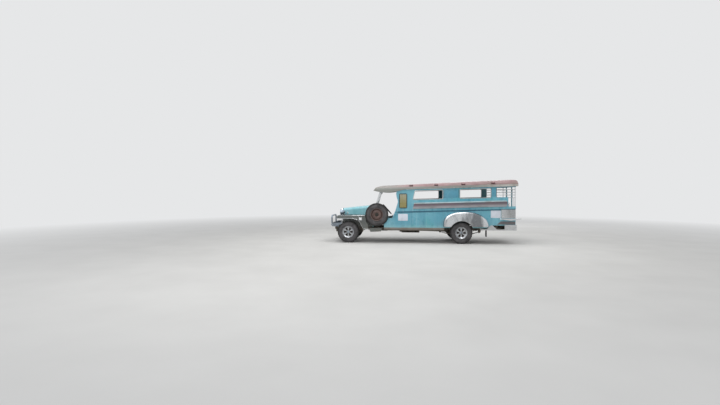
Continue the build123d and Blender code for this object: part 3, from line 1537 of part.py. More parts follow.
# Rear step and bumper boxes, on outriggers from the frame
bumper_bottom = 442.0
bumper_top = 618.0
bumper_rear_x = -2904.0
bumper_front_x = -2531.0
bumper_wall = 6.0
bumper_inner = rail_y + rail_width / 2 + seat_gap
tread_depth = 28.0
gusset_x = (-1988.0, -2134.0, -2300.0)
rail_end_x = -1767.0
gusset_top = 600.0
bumper_rail_wall = 12.0
bumper_rail_y = body_half - belt_step + seat_gap
with BuildPart() as rear_bumper:
    for side in (-1, 1):
        middle_y = side * (bumper_inner + body_half) / 2
        with BuildSketch(Plane.XY.offset(bumper_bottom)):
            with BuildLine():
                Polyline(
                    (bumper_front_x, side * bumper_inner),
                    (bumper_front_x, side * body_half),
                    (bumper_rear_x + 30, side * body_half),
                    (bumper_rear_x, side * (body_half - 30)),
                    (bumper_rear_x, side * bumper_inner),
                    close=True,
                )
            make_face()
        extrude(amount=bumper_top - bumper_bottom)
        with BuildSketch(Plane.XY.offset(bumper_bottom + bumper_wall)):
            with BuildLine():
                Polyline(
                    (bumper_front_x + 1, side * (bumper_inner - 1)),
                    (bumper_front_x + 1, side * (body_half - bumper_wall)),
                    (bumper_rear_x + 30 + 3, side * (body_half - bumper_wall)),
                    (bumper_rear_x + bumper_wall, side * (body_half - 33)),
                    (bumper_rear_x + bumper_wall, side * (bumper_inner - 1)),
                    close=True,
                )
            make_face()
        extrude(amount=bumper_top - bumper_bottom, mode=Mode.SUBTRACT)
        # The rail along the body's lower edge, with its gusset
        with BuildSketch(side_plane(bumper_rail_y + bumper_rail_wall if side > 0 else -bumper_rail_y)):
            with BuildLine():
                Polyline(
                    (rail_end_x, side_bottom - 10),
                    (rail_end_x - 20, side_bottom - 34),
                    (rail_end_x - 110, bumper_bottom),
                    (bumper_front_x - 10, bumper_bottom),
                    (bumper_front_x - 10, bumper_bottom + 34),
                    (gusset_x[2], bumper_bottom + 34),
                    (gusset_x[1] - 30, gusset_top),
                    (gusset_x[1] + 30, gusset_top),
                    (gusset_x[0], bumper_bottom + 34),
                    (rail_end_x - 100, bumper_bottom + 34),
                    close=True,
                )
            make_face()
        extrude(amount=bumper_rail_wall)
        with BuildSketch(side_plane(-bumper_inner if side < 0 else body_half - 20)):
            with Locations((gusset_x[1], bumper_bottom + 17)):
                Rectangle(40, 26)
        extrude(amount=body_half - 20 - bumper_inner)
    with Locations((bumper_rear_x + 75, 0, bumper_bottom + tread_depth / 2)):
        Box(150, 2 * bumper_inner + 2, tread_depth)
keep(rear_bumper, "rear_bumper")

# Ribbed corner panels over the body's rear corners
corner_plate_x = (-2431.0, cabin_rear_x)
corner_plate_z = (828.0, 1100.0)
corner_plate_wall = 6.0
corner_rib = 6.0
corner_rib_count = 6
corner_plate_y = body_half - belt_step + seat_gap + corner_plate_wall
with BuildPart() as corner_plate:
    plate_middle_x = (corner_plate_x[0] + corner_plate_x[1]) / 2
    plate_length = corner_plate_x[0] - corner_plate_x[1]
    rib_pitch = (corner_plate_z[1] - corner_plate_z[0]) / corner_rib_count
    with BuildSketch(side_plane(corner_plate_y)):
        with Locations((plate_middle_x, (corner_plate_z[0] + corner_plate_z[1]) / 2)):
            Rectangle(plate_length, corner_plate_z[1] - corner_plate_z[0])
    extrude(amount=corner_plate_wall)
    with BuildSketch(side_plane(corner_plate_y + corner_rib)):
        with Locations((plate_middle_x, (corner_plate_z[0] + corner_plate_z[1]) / 2)):
            with GridLocations(0, rib_pitch, 1, corner_rib_count):
                Rectangle(plate_length - 8, rib_pitch * 0.5)
    extrude(amount=corner_rib, taper=-14)
keep(paired(corner_plate), "corner_plates")

# Rear wings: tapering trays that reach back beside the entrance
wing_front_x = -2378.0
wing_tip_x = -rear_reach
wing_low = 731.0
wing_high = 816.0
wing_inner = 640.0
wing_outer = 872.0
wing_body_y = body_half - belt_step + seat_gap
with BuildPart() as wing_tray:
    with BuildSketch(Plane.XY.offset(wing_low)):
        with BuildLine():
            Polyline(
                (wing_front_x, wing_body_y),
                (wing_front_x - 40, wing_outer),
                (cabin_rear_x + 10, wing_outer),
                (wing_tip_x, wing_outer - 72),
                (wing_tip_x, wing_outer - 102),
                ((cabin_rear_x + wing_tip_x) / 2, wing_inner),
                (cabin_rear_x - seat_gap, wing_inner),
                (cabin_rear_x - seat_gap, wing_body_y),
                close=True,
            )
        make_face()
    extrude(amount=wing_high - wing_low)
    with BuildSketch(side_plane(wing_outer + 1)):
        with BuildLine():
            Polyline(
                (wing_front_x + 1, wing_low - 1),
                (wing_front_x + 1, wing_high - 18),
                ((wing_front_x + wing_tip_x) / 2, wing_low + 22),
                (wing_tip_x - 1, wing_high - 16),
                (wing_tip_x - 1, wing_low - 1),
                close=True,
            )
        make_face()
    extrude(amount=wing_outer - wing_inner + 2, mode=Mode.SUBTRACT)
rear_wings = paired(wing_tray)
keep(rear_wings, "rear_wings")

# Mud flaps behind the rear wheels, hung from the frame's outriggers
flap_x = -1982.0
flap_low = 225.0
flap_wall = 8.0
with BuildPart() as flap:
    with BuildSketch(Plane.YZ.offset(flap_x)):
        with Locations((rear_wheel_y - 12, (flap_low + side_bottom) / 2)):
            Rectangle(tyre_width + 20, side_bottom - flap_low - 2)
    extrude(amount=-flap_wall)
    with BuildSketch(side_plane(rear_wheel_y + 90)):
        with Locations((flap_x - flap_wall - 15, rail_top - 25)):
            Rectangle(30, 40)
    extrude(amount=rear_wheel_y + 90 - rail_y - rail_width / 2 - seat_gap)
mud_flaps = paired(flap)
keep(mud_flaps, "mud_flaps")

# Front bumper: a deep bar with swept-back ends, and a tall hoop in front of the grille
bar_depth = 46.0
bar_x = front_reach - bar_depth - 56
bar_bottom = 528.0
bar_top = 640.0
bar_half = 700.0
bar_wall = 6.0
wrap_x = bar_x - 315
wrap_y = 842.0
wrap_bottom = 628.0
wrap_top = 666.0
hoop_r = 24.0
hoop_half = 430.0
hoop_top = 868.0
hoop_x = front_reach - hoop_r
with BuildPart() as front_bumper:
    with BuildSketch(Plane.XY.offset(bar_bottom)):
        with BuildLine():
            outer_line = FilletPolyline(
                (wrap_x, wrap_y),
                (wrap_x + 210, wrap_y),
                (bar_x + bar_depth, bar_half - 60),
                (bar_x + bar_depth, -bar_half + 60),
                (wrap_x + 210, -wrap_y),
                (wrap_x, -wrap_y),
                radius=90,
            )
            offset(amount=bar_wall, side=Side.RIGHT)
        make_face()
    extrude(amount=wrap_top - bar_bottom)
    # The swept-back ends narrow and rise, clear of the steered tyres
    with BuildSketch(side_plane(wrap_y)):
        with BuildLine():
            Polyline(
                (front_reach, bar_bottom),
                (front_reach, bar_top),
                (bar_x - 60, bar_top),
                (wrap_x, wrap_top),
                (wrap_x, wrap_bottom),
                (bar_x - 40, bar_bottom),
                close=True,
            )
        make_face()
    extrude(amount=2 * wrap_y, mode=Mode.INTERSECT)
    with BuildLine() as hoop_line:
        FilletPolyline(
            (hoop_x, -hoop_half, bar_bottom),
            (hoop_x, -hoop_half, hoop_top),
            (hoop_x, hoop_half, hoop_top),
            (hoop_x, hoop_half, bar_bottom),
            radius=90,
        )
    with BuildSketch(Plane(origin=hoop_line.line @ 0, z_dir=hoop_line.line % 0)):
        Circle(hoop_r)
    sweep()
    for side in (-1, 1):
        with BuildSketch(Plane.XY.offset(bar_bottom + 14)):
            with Locations(((hoop_x + bar_x) / 2, side * hoop_half)):
                Rectangle(hoop_x - bar_x, 30)
        extrude(amount=bar_top - bar_bottom - 28)
        with BuildSketch(Plane.XY.offset(rail_top + seat_gap)):
            with Locations(((bar_x + rail_front_x - 120) / 2 + 20, side * rail_y)):
                Rectangle(bar_x + 40 - rail_front_x + 120, 50)
        extrude(amount=46)
keep(front_bumper, "front_bumper")

# Spare wheel on the left of the cowl: an older pressed steel rim, on a bolted carrier
spare_bead_r = 203.0
spare_flange_r = 220.0
spare_half = 76.0
spare_well_r = 172.0
carrier_r = 60.0
spare_centre = (spare_x, spare_y, spare_z)
spare_tyre = tyre(
    spare_centre, spare_r, spare_width, spare_bead_r, spare_half - rim_wall - seat_gap, spare_flange_r
)
keep(spare_tyre, "spare_tyre")
with BuildPart() as spare_rim:
    with BuildSketch(Plane(origin=spare_centre, x_dir=(1, 0, 0), z_dir=(0, 0, 1))):
        with BuildLine():
            Polyline(*barrel(spare_bead_r, spare_flange_r, spare_half, spare_well_r), close=True)
        make_face()
    revolve(axis=Axis(spare_centre, (0, 1, 0)))
    with BuildSketch(Plane(origin=spare_centre, x_dir=(1, 0, 0), z_dir=(0, 0, 1))):
        with BuildLine():
            Polyline((spare_well_r + 3, -34), (150, 4), (100, 22), (62, 6), (62, 14), (98, 30), (156, 12))
            Line((156, 12), (spare_well_r + 3, -24))
            Line((spare_well_r + 3, -24), (spare_well_r + 3, -34))
        make_face()
    revolve(axis=Axis(spare_centre, (0, 1, 0)))
keep(spare_rim, "spare_rim")
with BuildPart() as spare_carrier:
    carrier_end = spare_y + 6 - seat_gap
    with BuildSketch(side_plane(carrier_end)):
        with Locations((spare_x, spare_z)):
            Circle(carrier_r - 4)
    extrude(amount=carrier_end - cowl_half - seat_gap)
    with BuildSketch(side_plane(cowl_half + seat_gap + 8)):
        with Locations((spare_x, spare_z - 10)):
            RectangleRounded(220, 150, 12)
    extrude(amount=8)
keep(spare_carrier, "spare_carrier")

# Seats: two long benches facing across the aisle, and the front seat ahead of them
bench_front_x = 480.0
bench_rear_x = -2700.0
bench_inner = 430.0
cushion_wall = 90.0
bench_top = 776.0
back_low = 930.0
back_high = 1320.0
back_wall = 45.0
seat_base_wall = 20.0
seat_y = side_inner - seat_gap
with BuildPart() as bench_base:
    with BuildSketch(side_plane(bench_inner + 30)):
        with Locations(((bench_front_x + bench_rear_x) / 2, (floor_top + seat_gap + bench_top) / 2)):
            Rectangle(bench_front_x - bench_rear_x - 20, bench_top - floor_top - seat_gap)
    extrude(amount=seat_base_wall)
    with BuildSketch(Plane.XY.offset(bench_top - seat_base_wall)):
        with Locations(((bench_front_x + bench_rear_x) / 2, (bench_inner + 10 + seat_y) / 2)):
            Rectangle(bench_front_x - bench_rear_x - 20, seat_y - bench_inner - 10)
    extrude(amount=seat_base_wall)
    with BuildSketch(Plane.YZ.offset(bench_front_x - 10)):
        with Locations(((bench_inner + 10 + seat_y) / 2, (floor_top + seat_gap + bench_top) / 2)):
            Rectangle(seat_y - bench_inner - 10, bench_top - floor_top - seat_gap)
    extrude(amount=-seat_base_wall)
keep(paired(bench_base), "bench_bases")
with BuildPart() as bench_cushion:
    with BuildSketch(Plane.XY.offset(bench_top + seat_gap)):
        with Locations(((bench_front_x + bench_rear_x) / 2, (bench_inner + seat_y - 60) / 2)):
            RectangleRounded(bench_front_x - bench_rear_x, seat_y - 60 - bench_inner, 20)
    extrude(amount=cushion_wall)
    fillet(bench_cushion.edges().group_by(Axis.Z)[-1], 18)
keep(paired(bench_cushion), "bench_cushions")
with BuildPart() as bench_back:
    with BuildSketch(side_plane(seat_y)):
        with Locations(((bench_front_x + bench_rear_x) / 2, (back_low + back_high) / 2)):
            RectangleRounded(bench_front_x - bench_rear_x, back_high - back_low, 20)
    extrude(amount=back_wall)
    fillet(bench_back.edges().group_by(Axis.Y)[0], 14)
keep(paired(bench_back), "bench_backs")

front_seat_x = (575.0, 1010.0)
front_seat_half = 740.0
front_seat_top = 800.0
front_cushion_wall = 95.0
front_back_wall = 90.0
front_back_high = 1330.0
with BuildPart() as front_seat_base:
    with BuildSketch(Plane.XY.offset(floor_top + seat_gap)):
        with Locations(((front_seat_x[0] + front_seat_x[1]) / 2, 0)):
            Rectangle(front_seat_x[1] - front_seat_x[0] - 40, 2 * front_seat_half - 40)
            Rectangle(front_seat_x[1] - front_seat_x[0] - 80, 2 * front_seat_half - 80, mode=Mode.SUBTRACT)
    extrude(amount=front_seat_top - floor_top - seat_gap)
keep(front_seat_base, "front_seat_base")
with BuildPart() as front_seat_cushion:
    with BuildSketch(Plane.XY.offset(front_seat_top + seat_gap)):
        with Locations(((front_seat_x[0] + front_seat_x[1]) / 2, 0)):
            RectangleRounded(front_seat_x[1] - front_seat_x[0], 2 * front_seat_half, 40)
    extrude(amount=front_cushion_wall)
    fillet(front_seat_cushion.edges().group_by(Axis.Z)[-1], 24)
keep(front_seat_cushion, "front_seat_cushion")
with BuildPart() as front_seat_back:
    back_start = front_seat_top + front_cushion_wall + 2 * seat_gap
    with BuildSketch(Plane.YZ.offset(front_seat_x[0])):
        with Locations((0, (back_start + front_back_high) / 2)):
            RectangleRounded(2 * front_seat_half, front_back_high - back_start, 40)
    extrude(amount=front_back_wall)
    fillet(front_seat_back.edges().group_by(Axis.X)[-1], 24)
keep(front_seat_back, "front_seat_back")

# Grab rails under the ceiling, hung from the roof bows
grab_r = 12.0
grab_y = 330.0
grab_drop = 90.0
bow_under = roof_low_top - roof_wall - bow_depth
roof_climb = (roof_high_top - roof_low_top) / (brow_x - roof_rear_x - 146)


def bow_z(x):
    """The height of a roof bow's underside at x, where the grab rails hang."""
    crown_half = roof_half - roof_wall - bow_depth - (roof_shoulder - 0.6 * (roof_wall + bow_depth)) * 1.3
    fall = (roof_crown + 2) * (grab_y / crown_half) ** 2 + crown_gap
    return bow_under - fall + roof_climb * (brow_x - x)


with BuildPart() as grab_rail:
    with BuildLine() as rail_line:
        Line(
            (bow_x[0] + 60, grab_y, bow_z(bow_x[0] + 60) - grab_drop),
            (bow_x[-1] - 200, grab_y, bow_z(bow_x[-1] - 200) - grab_drop),
        )
    with BuildSketch(Plane(origin=rail_line.line @ 0, z_dir=rail_line.line % 0)):
        Circle(grab_r)
    sweep()
    for x in bow_x:
        with BuildSketch(Plane.XY.offset(bow_z(x) - grab_drop)):
            with Locations((x, grab_y)):
                Circle(grab_r * 0.6)
        extrude(amount=grab_drop - seat_gap - 0.6)
keep(paired(grab_rail), "grab_rails")
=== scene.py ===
"""The looks of a long-bodied passenger jeepney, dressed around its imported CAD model.

Each sub-assembly is a class that models its pieces with Blender's own tools. Sizes are in metres: +X is
forward, +Y is the vehicle's left and +Z is up.
"""

import json
import logging
import math
from collections.abc import Callable, Iterable, Iterator, Sequence
from contextlib import contextmanager
from dataclasses import dataclass
from enum import Enum
from functools import reduce

import bmesh
import bpy
from mathutils import Matrix, Vector

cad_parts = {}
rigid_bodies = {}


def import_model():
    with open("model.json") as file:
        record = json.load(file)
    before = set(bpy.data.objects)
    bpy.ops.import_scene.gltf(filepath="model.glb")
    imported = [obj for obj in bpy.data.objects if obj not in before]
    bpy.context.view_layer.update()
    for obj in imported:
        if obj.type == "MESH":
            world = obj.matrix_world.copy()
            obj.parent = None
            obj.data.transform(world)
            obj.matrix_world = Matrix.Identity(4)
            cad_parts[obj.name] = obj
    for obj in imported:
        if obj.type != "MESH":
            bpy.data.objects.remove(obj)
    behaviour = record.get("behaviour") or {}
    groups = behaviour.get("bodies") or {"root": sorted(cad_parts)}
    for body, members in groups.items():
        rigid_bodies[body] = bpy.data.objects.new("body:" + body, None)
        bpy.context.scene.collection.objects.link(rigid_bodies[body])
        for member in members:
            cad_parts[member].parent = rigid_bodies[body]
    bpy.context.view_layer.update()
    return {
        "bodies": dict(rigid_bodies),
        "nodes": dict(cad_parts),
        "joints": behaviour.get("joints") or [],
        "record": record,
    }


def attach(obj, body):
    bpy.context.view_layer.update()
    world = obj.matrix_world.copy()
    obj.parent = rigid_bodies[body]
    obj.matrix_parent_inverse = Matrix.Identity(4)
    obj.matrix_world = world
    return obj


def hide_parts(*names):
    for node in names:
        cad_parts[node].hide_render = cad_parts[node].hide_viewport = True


LOG = logging.getLogger("jeepney")

Point = tuple[float, float, float]
Flat = tuple[float, float]
Piece = bpy.types.Object
Socket = bpy.types.NodeSocket
Material = bpy.types.Material


class Along(Enum):
    """The axis that a turned piece is round."""

    X = 0
    Y = 1
    Z = 2


# The body's lines climb towards the back by this share, from the height given at RAKE_START
RAKE = 0.028
RAKE_START = 0.600
BODY_HALF = 0.850
LOWER_HALF = 0.828
CHASSIS = "chassis"
# The usual angle in degrees past which an edge stays sharp
SHARP = 32.0
# How far a fitting's back is let into the surface under it
SUNK = 0.0004
# The middles of the left wheels and of the spare
FRONT_WHEEL = (2.436, 0.695, 0.350)
REAR_WHEEL = (-1.204, 0.725, 0.350)
SPARE_WHEEL = (1.491, 0.838, 0.926)
# The point midway between the axles, and how far each is from it
MIDWAY = (0.616, 0.350)
HALF_WHEELBASE = 1.820


def cosine_and_sine(degrees: float) -> Flat:
    """The cosine and the sine of an angle in degrees."""
    turn = math.radians(degrees)
    return math.cos(turn), math.sin(turn)


def climb(x: float, z: float) -> float:
    """The height of a raked body line at x, where z is its height at RAKE_START."""
    return z + RAKE * (RAKE_START - x)


def srgb(code: str) -> tuple[float, float, float, float]:
    """The linear colour of a colour code.

    Args:
        code: Six figures, two for each part.

    Returns:
        Red, green, blue and a full alpha.
    """
    parts = [int(code[i : i + 2], 16) / 255 for i in (0, 2, 4)]
    linear = [c / 12.92 if c <= 0.04045 else ((c + 0.055) / 1.055) ** 2.4 for c in parts]
    return (linear[0], linear[1], linear[2], 1.0)


# Materials


class Nodes:
    """A node tree, with a short method for each kind of node that it holds."""

    def __init__(self, owner: Material | bpy.types.World) -> None:
        """Empties the owner's tree.

        Args:
            owner: The material or the world.
        """
        owner.use_nodes = True
        self.nodes, self.links = owner.node_tree.nodes, owner.node_tree.links
        self.nodes.clear()

    def feed(self, socket: Socket, value: object) -> None:
        """Gives a socket its value.

        Args:
            socket: The socket.
            value: Another socket to link to it, a colour code, or a value to set.
        """
        if isinstance(value, Socket):
            self.links.new(value, socket)
        else:
            socket.default_value = srgb(value) if isinstance(value, str) else value

    def add(self, kind: str, **values: object) -> bpy.types.Node:
        """A new node.

        Args:
            kind: Its type.
            values: What its sockets are fed, with underscores in their names in place of spaces.

        Returns:
            The node.
        """
        node = self.nodes.new(kind)
        self.fix(node, **values)
        return node

    def fix(self, node: bpy.types.Node, **values: object) -> None:
        """Feeds a node's sockets, whose names have underscores here in place of spaces."""
        for name, value in values.items():
            self.feed(node.inputs[name.replace("_", " ")], value)

    def math(self, kind: str, first: object, second: object = 0.0) -> Socket:
        """A sum on two values.

        Args:
            kind: The Math node's operation.
            first: A socket or a number.
            second: A socket or a number.

        Returns:
            The result.
        """
        node = self.nodes.new("ShaderNodeMath")
        node.operation = kind
        self.feed(node.inputs[0], first)
        self.feed(node.inputs[1], second)
        return node.outputs[0]

    def times(self, *values: object) -> Socket:
        """The product of sockets and numbers."""
        return reduce(lambda one, other: self.math("MULTIPLY", one, other), values)

    def plus(self, *values: object) -> Socket:
        """The sum of sockets and numbers."""
        return reduce(lambda one, other: self.math("ADD", one, other), values)

    def band(self, value: Socket, low: float, high: float, start: float = 0.0, end: float = 1.0) -> Socket:
        """A value that goes from the start to the end as it goes from low to high, and is held there."""
        span = {"From_Min": low, "From_Max": high, "To_Min": start, "To_Max": end}
        return self.add("ShaderNodeMapRange", Value=value, **span).outputs[0]

    def blend(self, factor: Socket, first: object, second: object) -> Socket:
        """Two colours, mixed.

        Args:
            factor: How much of the second there is.
            first: A socket or a colour code.
            second: A socket or a colour code.

        Returns:
            The mixed colour.
        """
        node = self.nodes.new("ShaderNodeMix")
        node.data_type = "RGBA"
        # The two sockets for colours are the seventh and the eighth
        for socket, value in (("Factor", factor), (6, first), (7, second)):
            self.feed(node.inputs[socket], value)
        return node.outputs[2]

    def seen(self) -> Socket:
        """Whether a ray comes from the camera, through glass or off a glossy surface.

        Returns:
            The socket, 1 for such rays.
        """
        path = self.nodes.new("ShaderNodeLightPath").outputs
        bent = self.math("MAXIMUM", path["Is Transmission Ray"], path["Is Glossy Ray"])
        return self.math("MAXIMUM", path["Is Camera Ray"], bent)

    def mix(self, *values: Socket) -> Socket:
        """Two shaders, mixed.

        Args:
            values: The share of the second shader, then the first shader and the second.

        Returns:
            The mixed shader.
        """
        node = self.nodes.new("ShaderNodeMixShader")
        for socket, value in zip(node.inputs, values):
            self.feed(socket, value)
        return node.outputs[0]


class Tree(Nodes):
    """A material's node tree, with a short method for each kind of texture that the finishes use."""

    def __init__(self, name: str) -> None:
        """Starts an empty tree with its shader.

        Args:
            name: The material's name.
        """
        self.material = bpy.data.materials.new(name)
        super().__init__(self.material)
        self.shader = self.nodes.new("ShaderNodeBsdfPrincipled")
        self.output = self.add("ShaderNodeOutputMaterial", Surface=self.shader.outputs[0])
        self.place = self.nodes.new("ShaderNodeTexCoord").outputs["Object"]

    def finish(self, **values: object) -> Material:
        """Feeds the shader's sockets, and gives the finished material."""
        self.fix(self.shader, **values)
        return self.material

    def stretched(self, stretch: Point) -> Socket:
        """The place on the object, with each axis scaled."""
        return self.add("ShaderNodeMapping", Vector=self.place, Scale=stretch).outputs[0]

    def noise(self, scale: float, detail: float = 5.0, stretch: Point = (1.0, 1.0, 1.0)) -> Socket:
        """A noise from 0 to 1, with so many features in a metre and so many finer layers."""
        spot = self.stretched(stretch)
        return self.add("ShaderNodeTexNoise", Vector=spot, Scale=scale, Detail=detail).outputs["Fac"]

    def cells(self, scale: float) -> Socket:
        """The distance to the nearest of many scattered points, with so many in a metre."""
        return self.add("ShaderNodeTexVoronoi", Vector=self.place, Scale=scale).outputs["Distance"]

    def axis(self, along: Along) -> Socket:
        """One coordinate of the place on the object."""
        return self.add("ShaderNodeSeparateXYZ", Vector=self.place).outputs[along.value]

    def raked(self) -> Socket:
        """The height on the object, less the climb of the body's lines."""
        return self.plus(self.axis(Along.Z), self.times(self.axis(Along.X), RAKE))

    def from_axle(self, centre: Flat, fold: float = 0.0) -> tuple[Socket, ...]:
        """The place as seen from an axle.

        Args:
            centre: The axle's X and Z.
            fold: For two axles, how far each is from the centre. The nearer one counts.

        Returns:
            The offsets along X and Z, and the radius.
        """
        x = self.math("SUBTRACT", self.axis(Along.X), centre[0])
        if fold:
            x = self.math("SUBTRACT", self.math("ABSOLUTE", x), fold)
        z = self.math("SUBTRACT", self.axis(Along.Z), centre[1])
        return x, z, self.math("SQRT", self.plus(self.times(x, x), self.times(z, z)))

    def bump(self, *layers: tuple[Socket, float]) -> None:
        """Adds bump to the shader.

        Args:
            layers: The height of each layer, from 0 to 1, and how deep it is in metres.
        """
        last = None
        for height, depth in layers:
            node = self.add("ShaderNodeBump", Distance=depth, Height=height)
            if last is not None:
                self.fix(node, Normal=last)
            last = node.outputs[0]
        self.fix(self.shader, Normal=last)

    def dusted(self, colour: object, dust: str, top: float, share: float) -> Socket:
        """A colour with road dust that thickens downwards.

        Args:
            colour: The colour under the dust.
            dust: The dust's colour code.
            top: The height above which there is none.
            share: How much of the colour the dust hides at the bottom.

        Returns:
            The dusted colour.
        """
        height = self.band(self.axis(Along.Z), top, 0.30)
        patches = self.band(self.noise(7.0, 6.0, (1.0, 1.0, 0.5)), 0.30, 0.72)
        return self.blend(self.times(height, patches, share), colour, dust)

    def rusted(self, colour: object, share: float, scale: float = 26.0) -> Socket:
        """A colour with small scattered rust spots.

        Args:
            colour: The colour under the rust.
            share: How much rust there is, about 1 for a lot.
            scale: How many spots there are in a metre.

        Returns:
            The rusted colour.
        """
        spots = self.band(self.noise(scale, 8.0), 0.74 - 0.12 * share, 0.80 - 0.12 * share)
        region = self.band(self.noise(2.1, 3.0), 0.42, 0.62)
        return self.blend(self.times(spots, region), colour, "6B3A22")


@dataclass(frozen=True)
class Coat:
    """A painted, moulded or rubber surface, worn by use."""

    name: str
    colour: str
    faded: str
    shade: str
    gloss: float = 0.32
    patch_scale: float = 1.2
    dust: str = "8B8374"
    dust_top: float = 1.05
    dust_share: float = 0.45
    rust: float = 0.0
    lacquer: float = 0.25
    waviness: float = 0.0012
    grain_scale: float = 260.0
    grain: float = 0.00006

    def make(self) -> Material:
        """Builds the material.

        Returns:
            The material.
        """
        tree = Tree(self.name)
        patches = tree.noise(self.patch_scale, 6.0)
        colour = tree.blend(tree.band(patches, 0.36, 0.66), self.colour, self.faded)
        streaks = tree.band(tree.noise(5.0, 6.0, (1.0, 1.0, 0.14)), 0.46, 0.70, 0.0, 0.45)
        colour = tree.blend(streaks, colour, self.shade)
        scuffs = tree.band(tree.noise(46.0, 8.0, (0.35, 1.0, 1.0)), 0.60, 0.74, 0.0, 0.35)
        colour = tree.blend(scuffs, colour, self.faded)
        if self.rust:
            colour = tree.rusted(colour, self.rust)
        colour = tree.dusted(colour, self.dust, self.dust_top, self.dust_share)
        worn = tree.band(tree.noise(11.0, 6.0), 0.35, 0.70, self.gloss - 0.06, self.gloss + 0.20)
        tree.bump((tree.noise(3.2, 2.0), self.waviness), (tree.noise(self.grain_scale, 2.0), self.grain))
        return tree.finish(Base_Color=colour, Roughness=worn, Coat_Weight=self.lacquer, Coat_Roughness=0.15)


@dataclass(frozen=True)
class Metal:
    """A bare or plated metal surface, brushed along one axis where its stretch says so."""

    name: str
    colour: str
    tarnish_and_reflection: str
    rough: float = 0.2
    brushing: Point = (1.0, 1.0, 1.0)
    tarnish_and_reflection_share: float = 0.5
    patch: Point = (3.1, 3.1, 3.1)
    patch_edges: Flat = (0.40, 0.68)
    rust: float = 0.0
    dust_share: float = 0.25
    dust_top: float = 0.9
    waviness: float = 0.001
    grain: float = 0.00002

    def make(self) -> Material:
        """Builds the material.

        Returns:
            The material.
        """
        tree = Tree(self.name)
        # Large patches of the second colour: tarnish, and on the stainless painted reflections
        stain = tree.band(tree.noise(1.0, 7.0, self.patch), *self.patch_edges, 0.0, self.tarnish_and_reflection_share)
        colour = tree.blend(stain, self.colour, self.tarnish_and_reflection)
        if self.rust:
            colour = tree.rusted(colour, self.rust, 40.0)
        colour = tree.dusted(colour, "847B6D", self.dust_top, self.dust_share)
        lines = tree.noise(90.0, 3.0, self.brushing)
        brushed = tree.band(lines, 0.3, 0.7, -0.04, 0.05)
        smeared = tree.band(tree.noise(5.0, 6.0), 0.3, 0.75, 0.0, 0.16)
        tree.bump((tree.noise(4.5, 2.0), self.waviness), (lines, self.grain))
        return tree.finish(Base_Color=colour, Roughness=tree.plus(brushed, smeared, self.rough), Metallic=1.0)


@dataclass(frozen=True)
class BodyPaint:
    """The body's sheet metal: sun-worn light blue, with pale streaks of filler and a dark band under the belt
    step, partly dark paint and partly painted shadow.
    """

    name: str = "light_blue_paint"
    blue: str = "5A9EB2"
    light: str = "78B4C2"
    deep: str = "3F8298"
    teal: str = "49A7AA"
    # Dark blue for the band under the belt step: partly paint, partly painted shadow of the step
    line: str = "1F5A72"
    belt: float = 1.025

    def make(self) -> Material:
        """Builds the material.

        Returns:
            The material.
        """
        tree = Tree(self.name)
        panels = tree.noise(0.8, 3.0, (1.0, 0.2, 0.6))
        colour = tree.blend(tree.band(panels, 0.38, 0.64), self.blue, self.light)
        colour = tree.blend(tree.band(tree.noise(1.9, 6.0), 0.54, 0.74, 0.0, 0.55), colour, self.teal)
        streaks = tree.band(tree.noise(6.0, 7.0, (1.0, 1.0, 0.10)), 0.50, 0.74, 0.0, 0.55)
        colour = tree.blend(streaks, colour, self.deep)
        runs = tree.band(tree.noise(16.0, 6.0, (1.0, 1.0, 0.05)), 0.60, 0.76, 0.0, 0.35)
        colour = tree.blend(runs, colour, "A9C6CB")
        height = tree.plus(tree.raked(), tree.band(tree.noise(9.0, 4.0), 0.3, 0.7, -0.004, 0.004))
        # The dark band under the belt step, behind the door and only on the side's outer face: partly dark
        # paint, partly painted shadow of the step
        belt = self.belt + RAKE * RAKE_START
        low = tree.band(height, belt - 0.046, belt - 0.032)
        high = tree.band(height, belt + 0.014, belt + 0.004)
        reach = tree.band(tree.axis(Along.X), 0.93, 0.80)
        side = tree.band(tree.math("ABSOLUTE", tree.axis(Along.Y)), 0.820, 0.824)
        colour = tree.blend(tree.times(low, high, reach, side, 0.85), colour, self.line)
        foot = tree.band(tree.axis(Along.Z), 0.62, 0.52, 0.0, 0.5)
        colour = tree.blend(foot, colour, "8FC0C2")
        colour = tree.rusted(colour, 0.6)
        colour = tree.dusted(colour, "8A8474", 0.85, 0.35)
        worn = tree.band(tree.noise(9.0, 6.0), 0.32, 0.70, 0.22, 0.46)
        tree.bump((tree.noise(2.4, 2.0, (1.0, 1.0, 0.7)), 0.0040), (tree.noise(240.0, 2.0), 0.00006))
        return tree.finish(Base_Color=colour, Roughness=worn, Coat_Weight=0.3, Coat_Roughness=0.12)


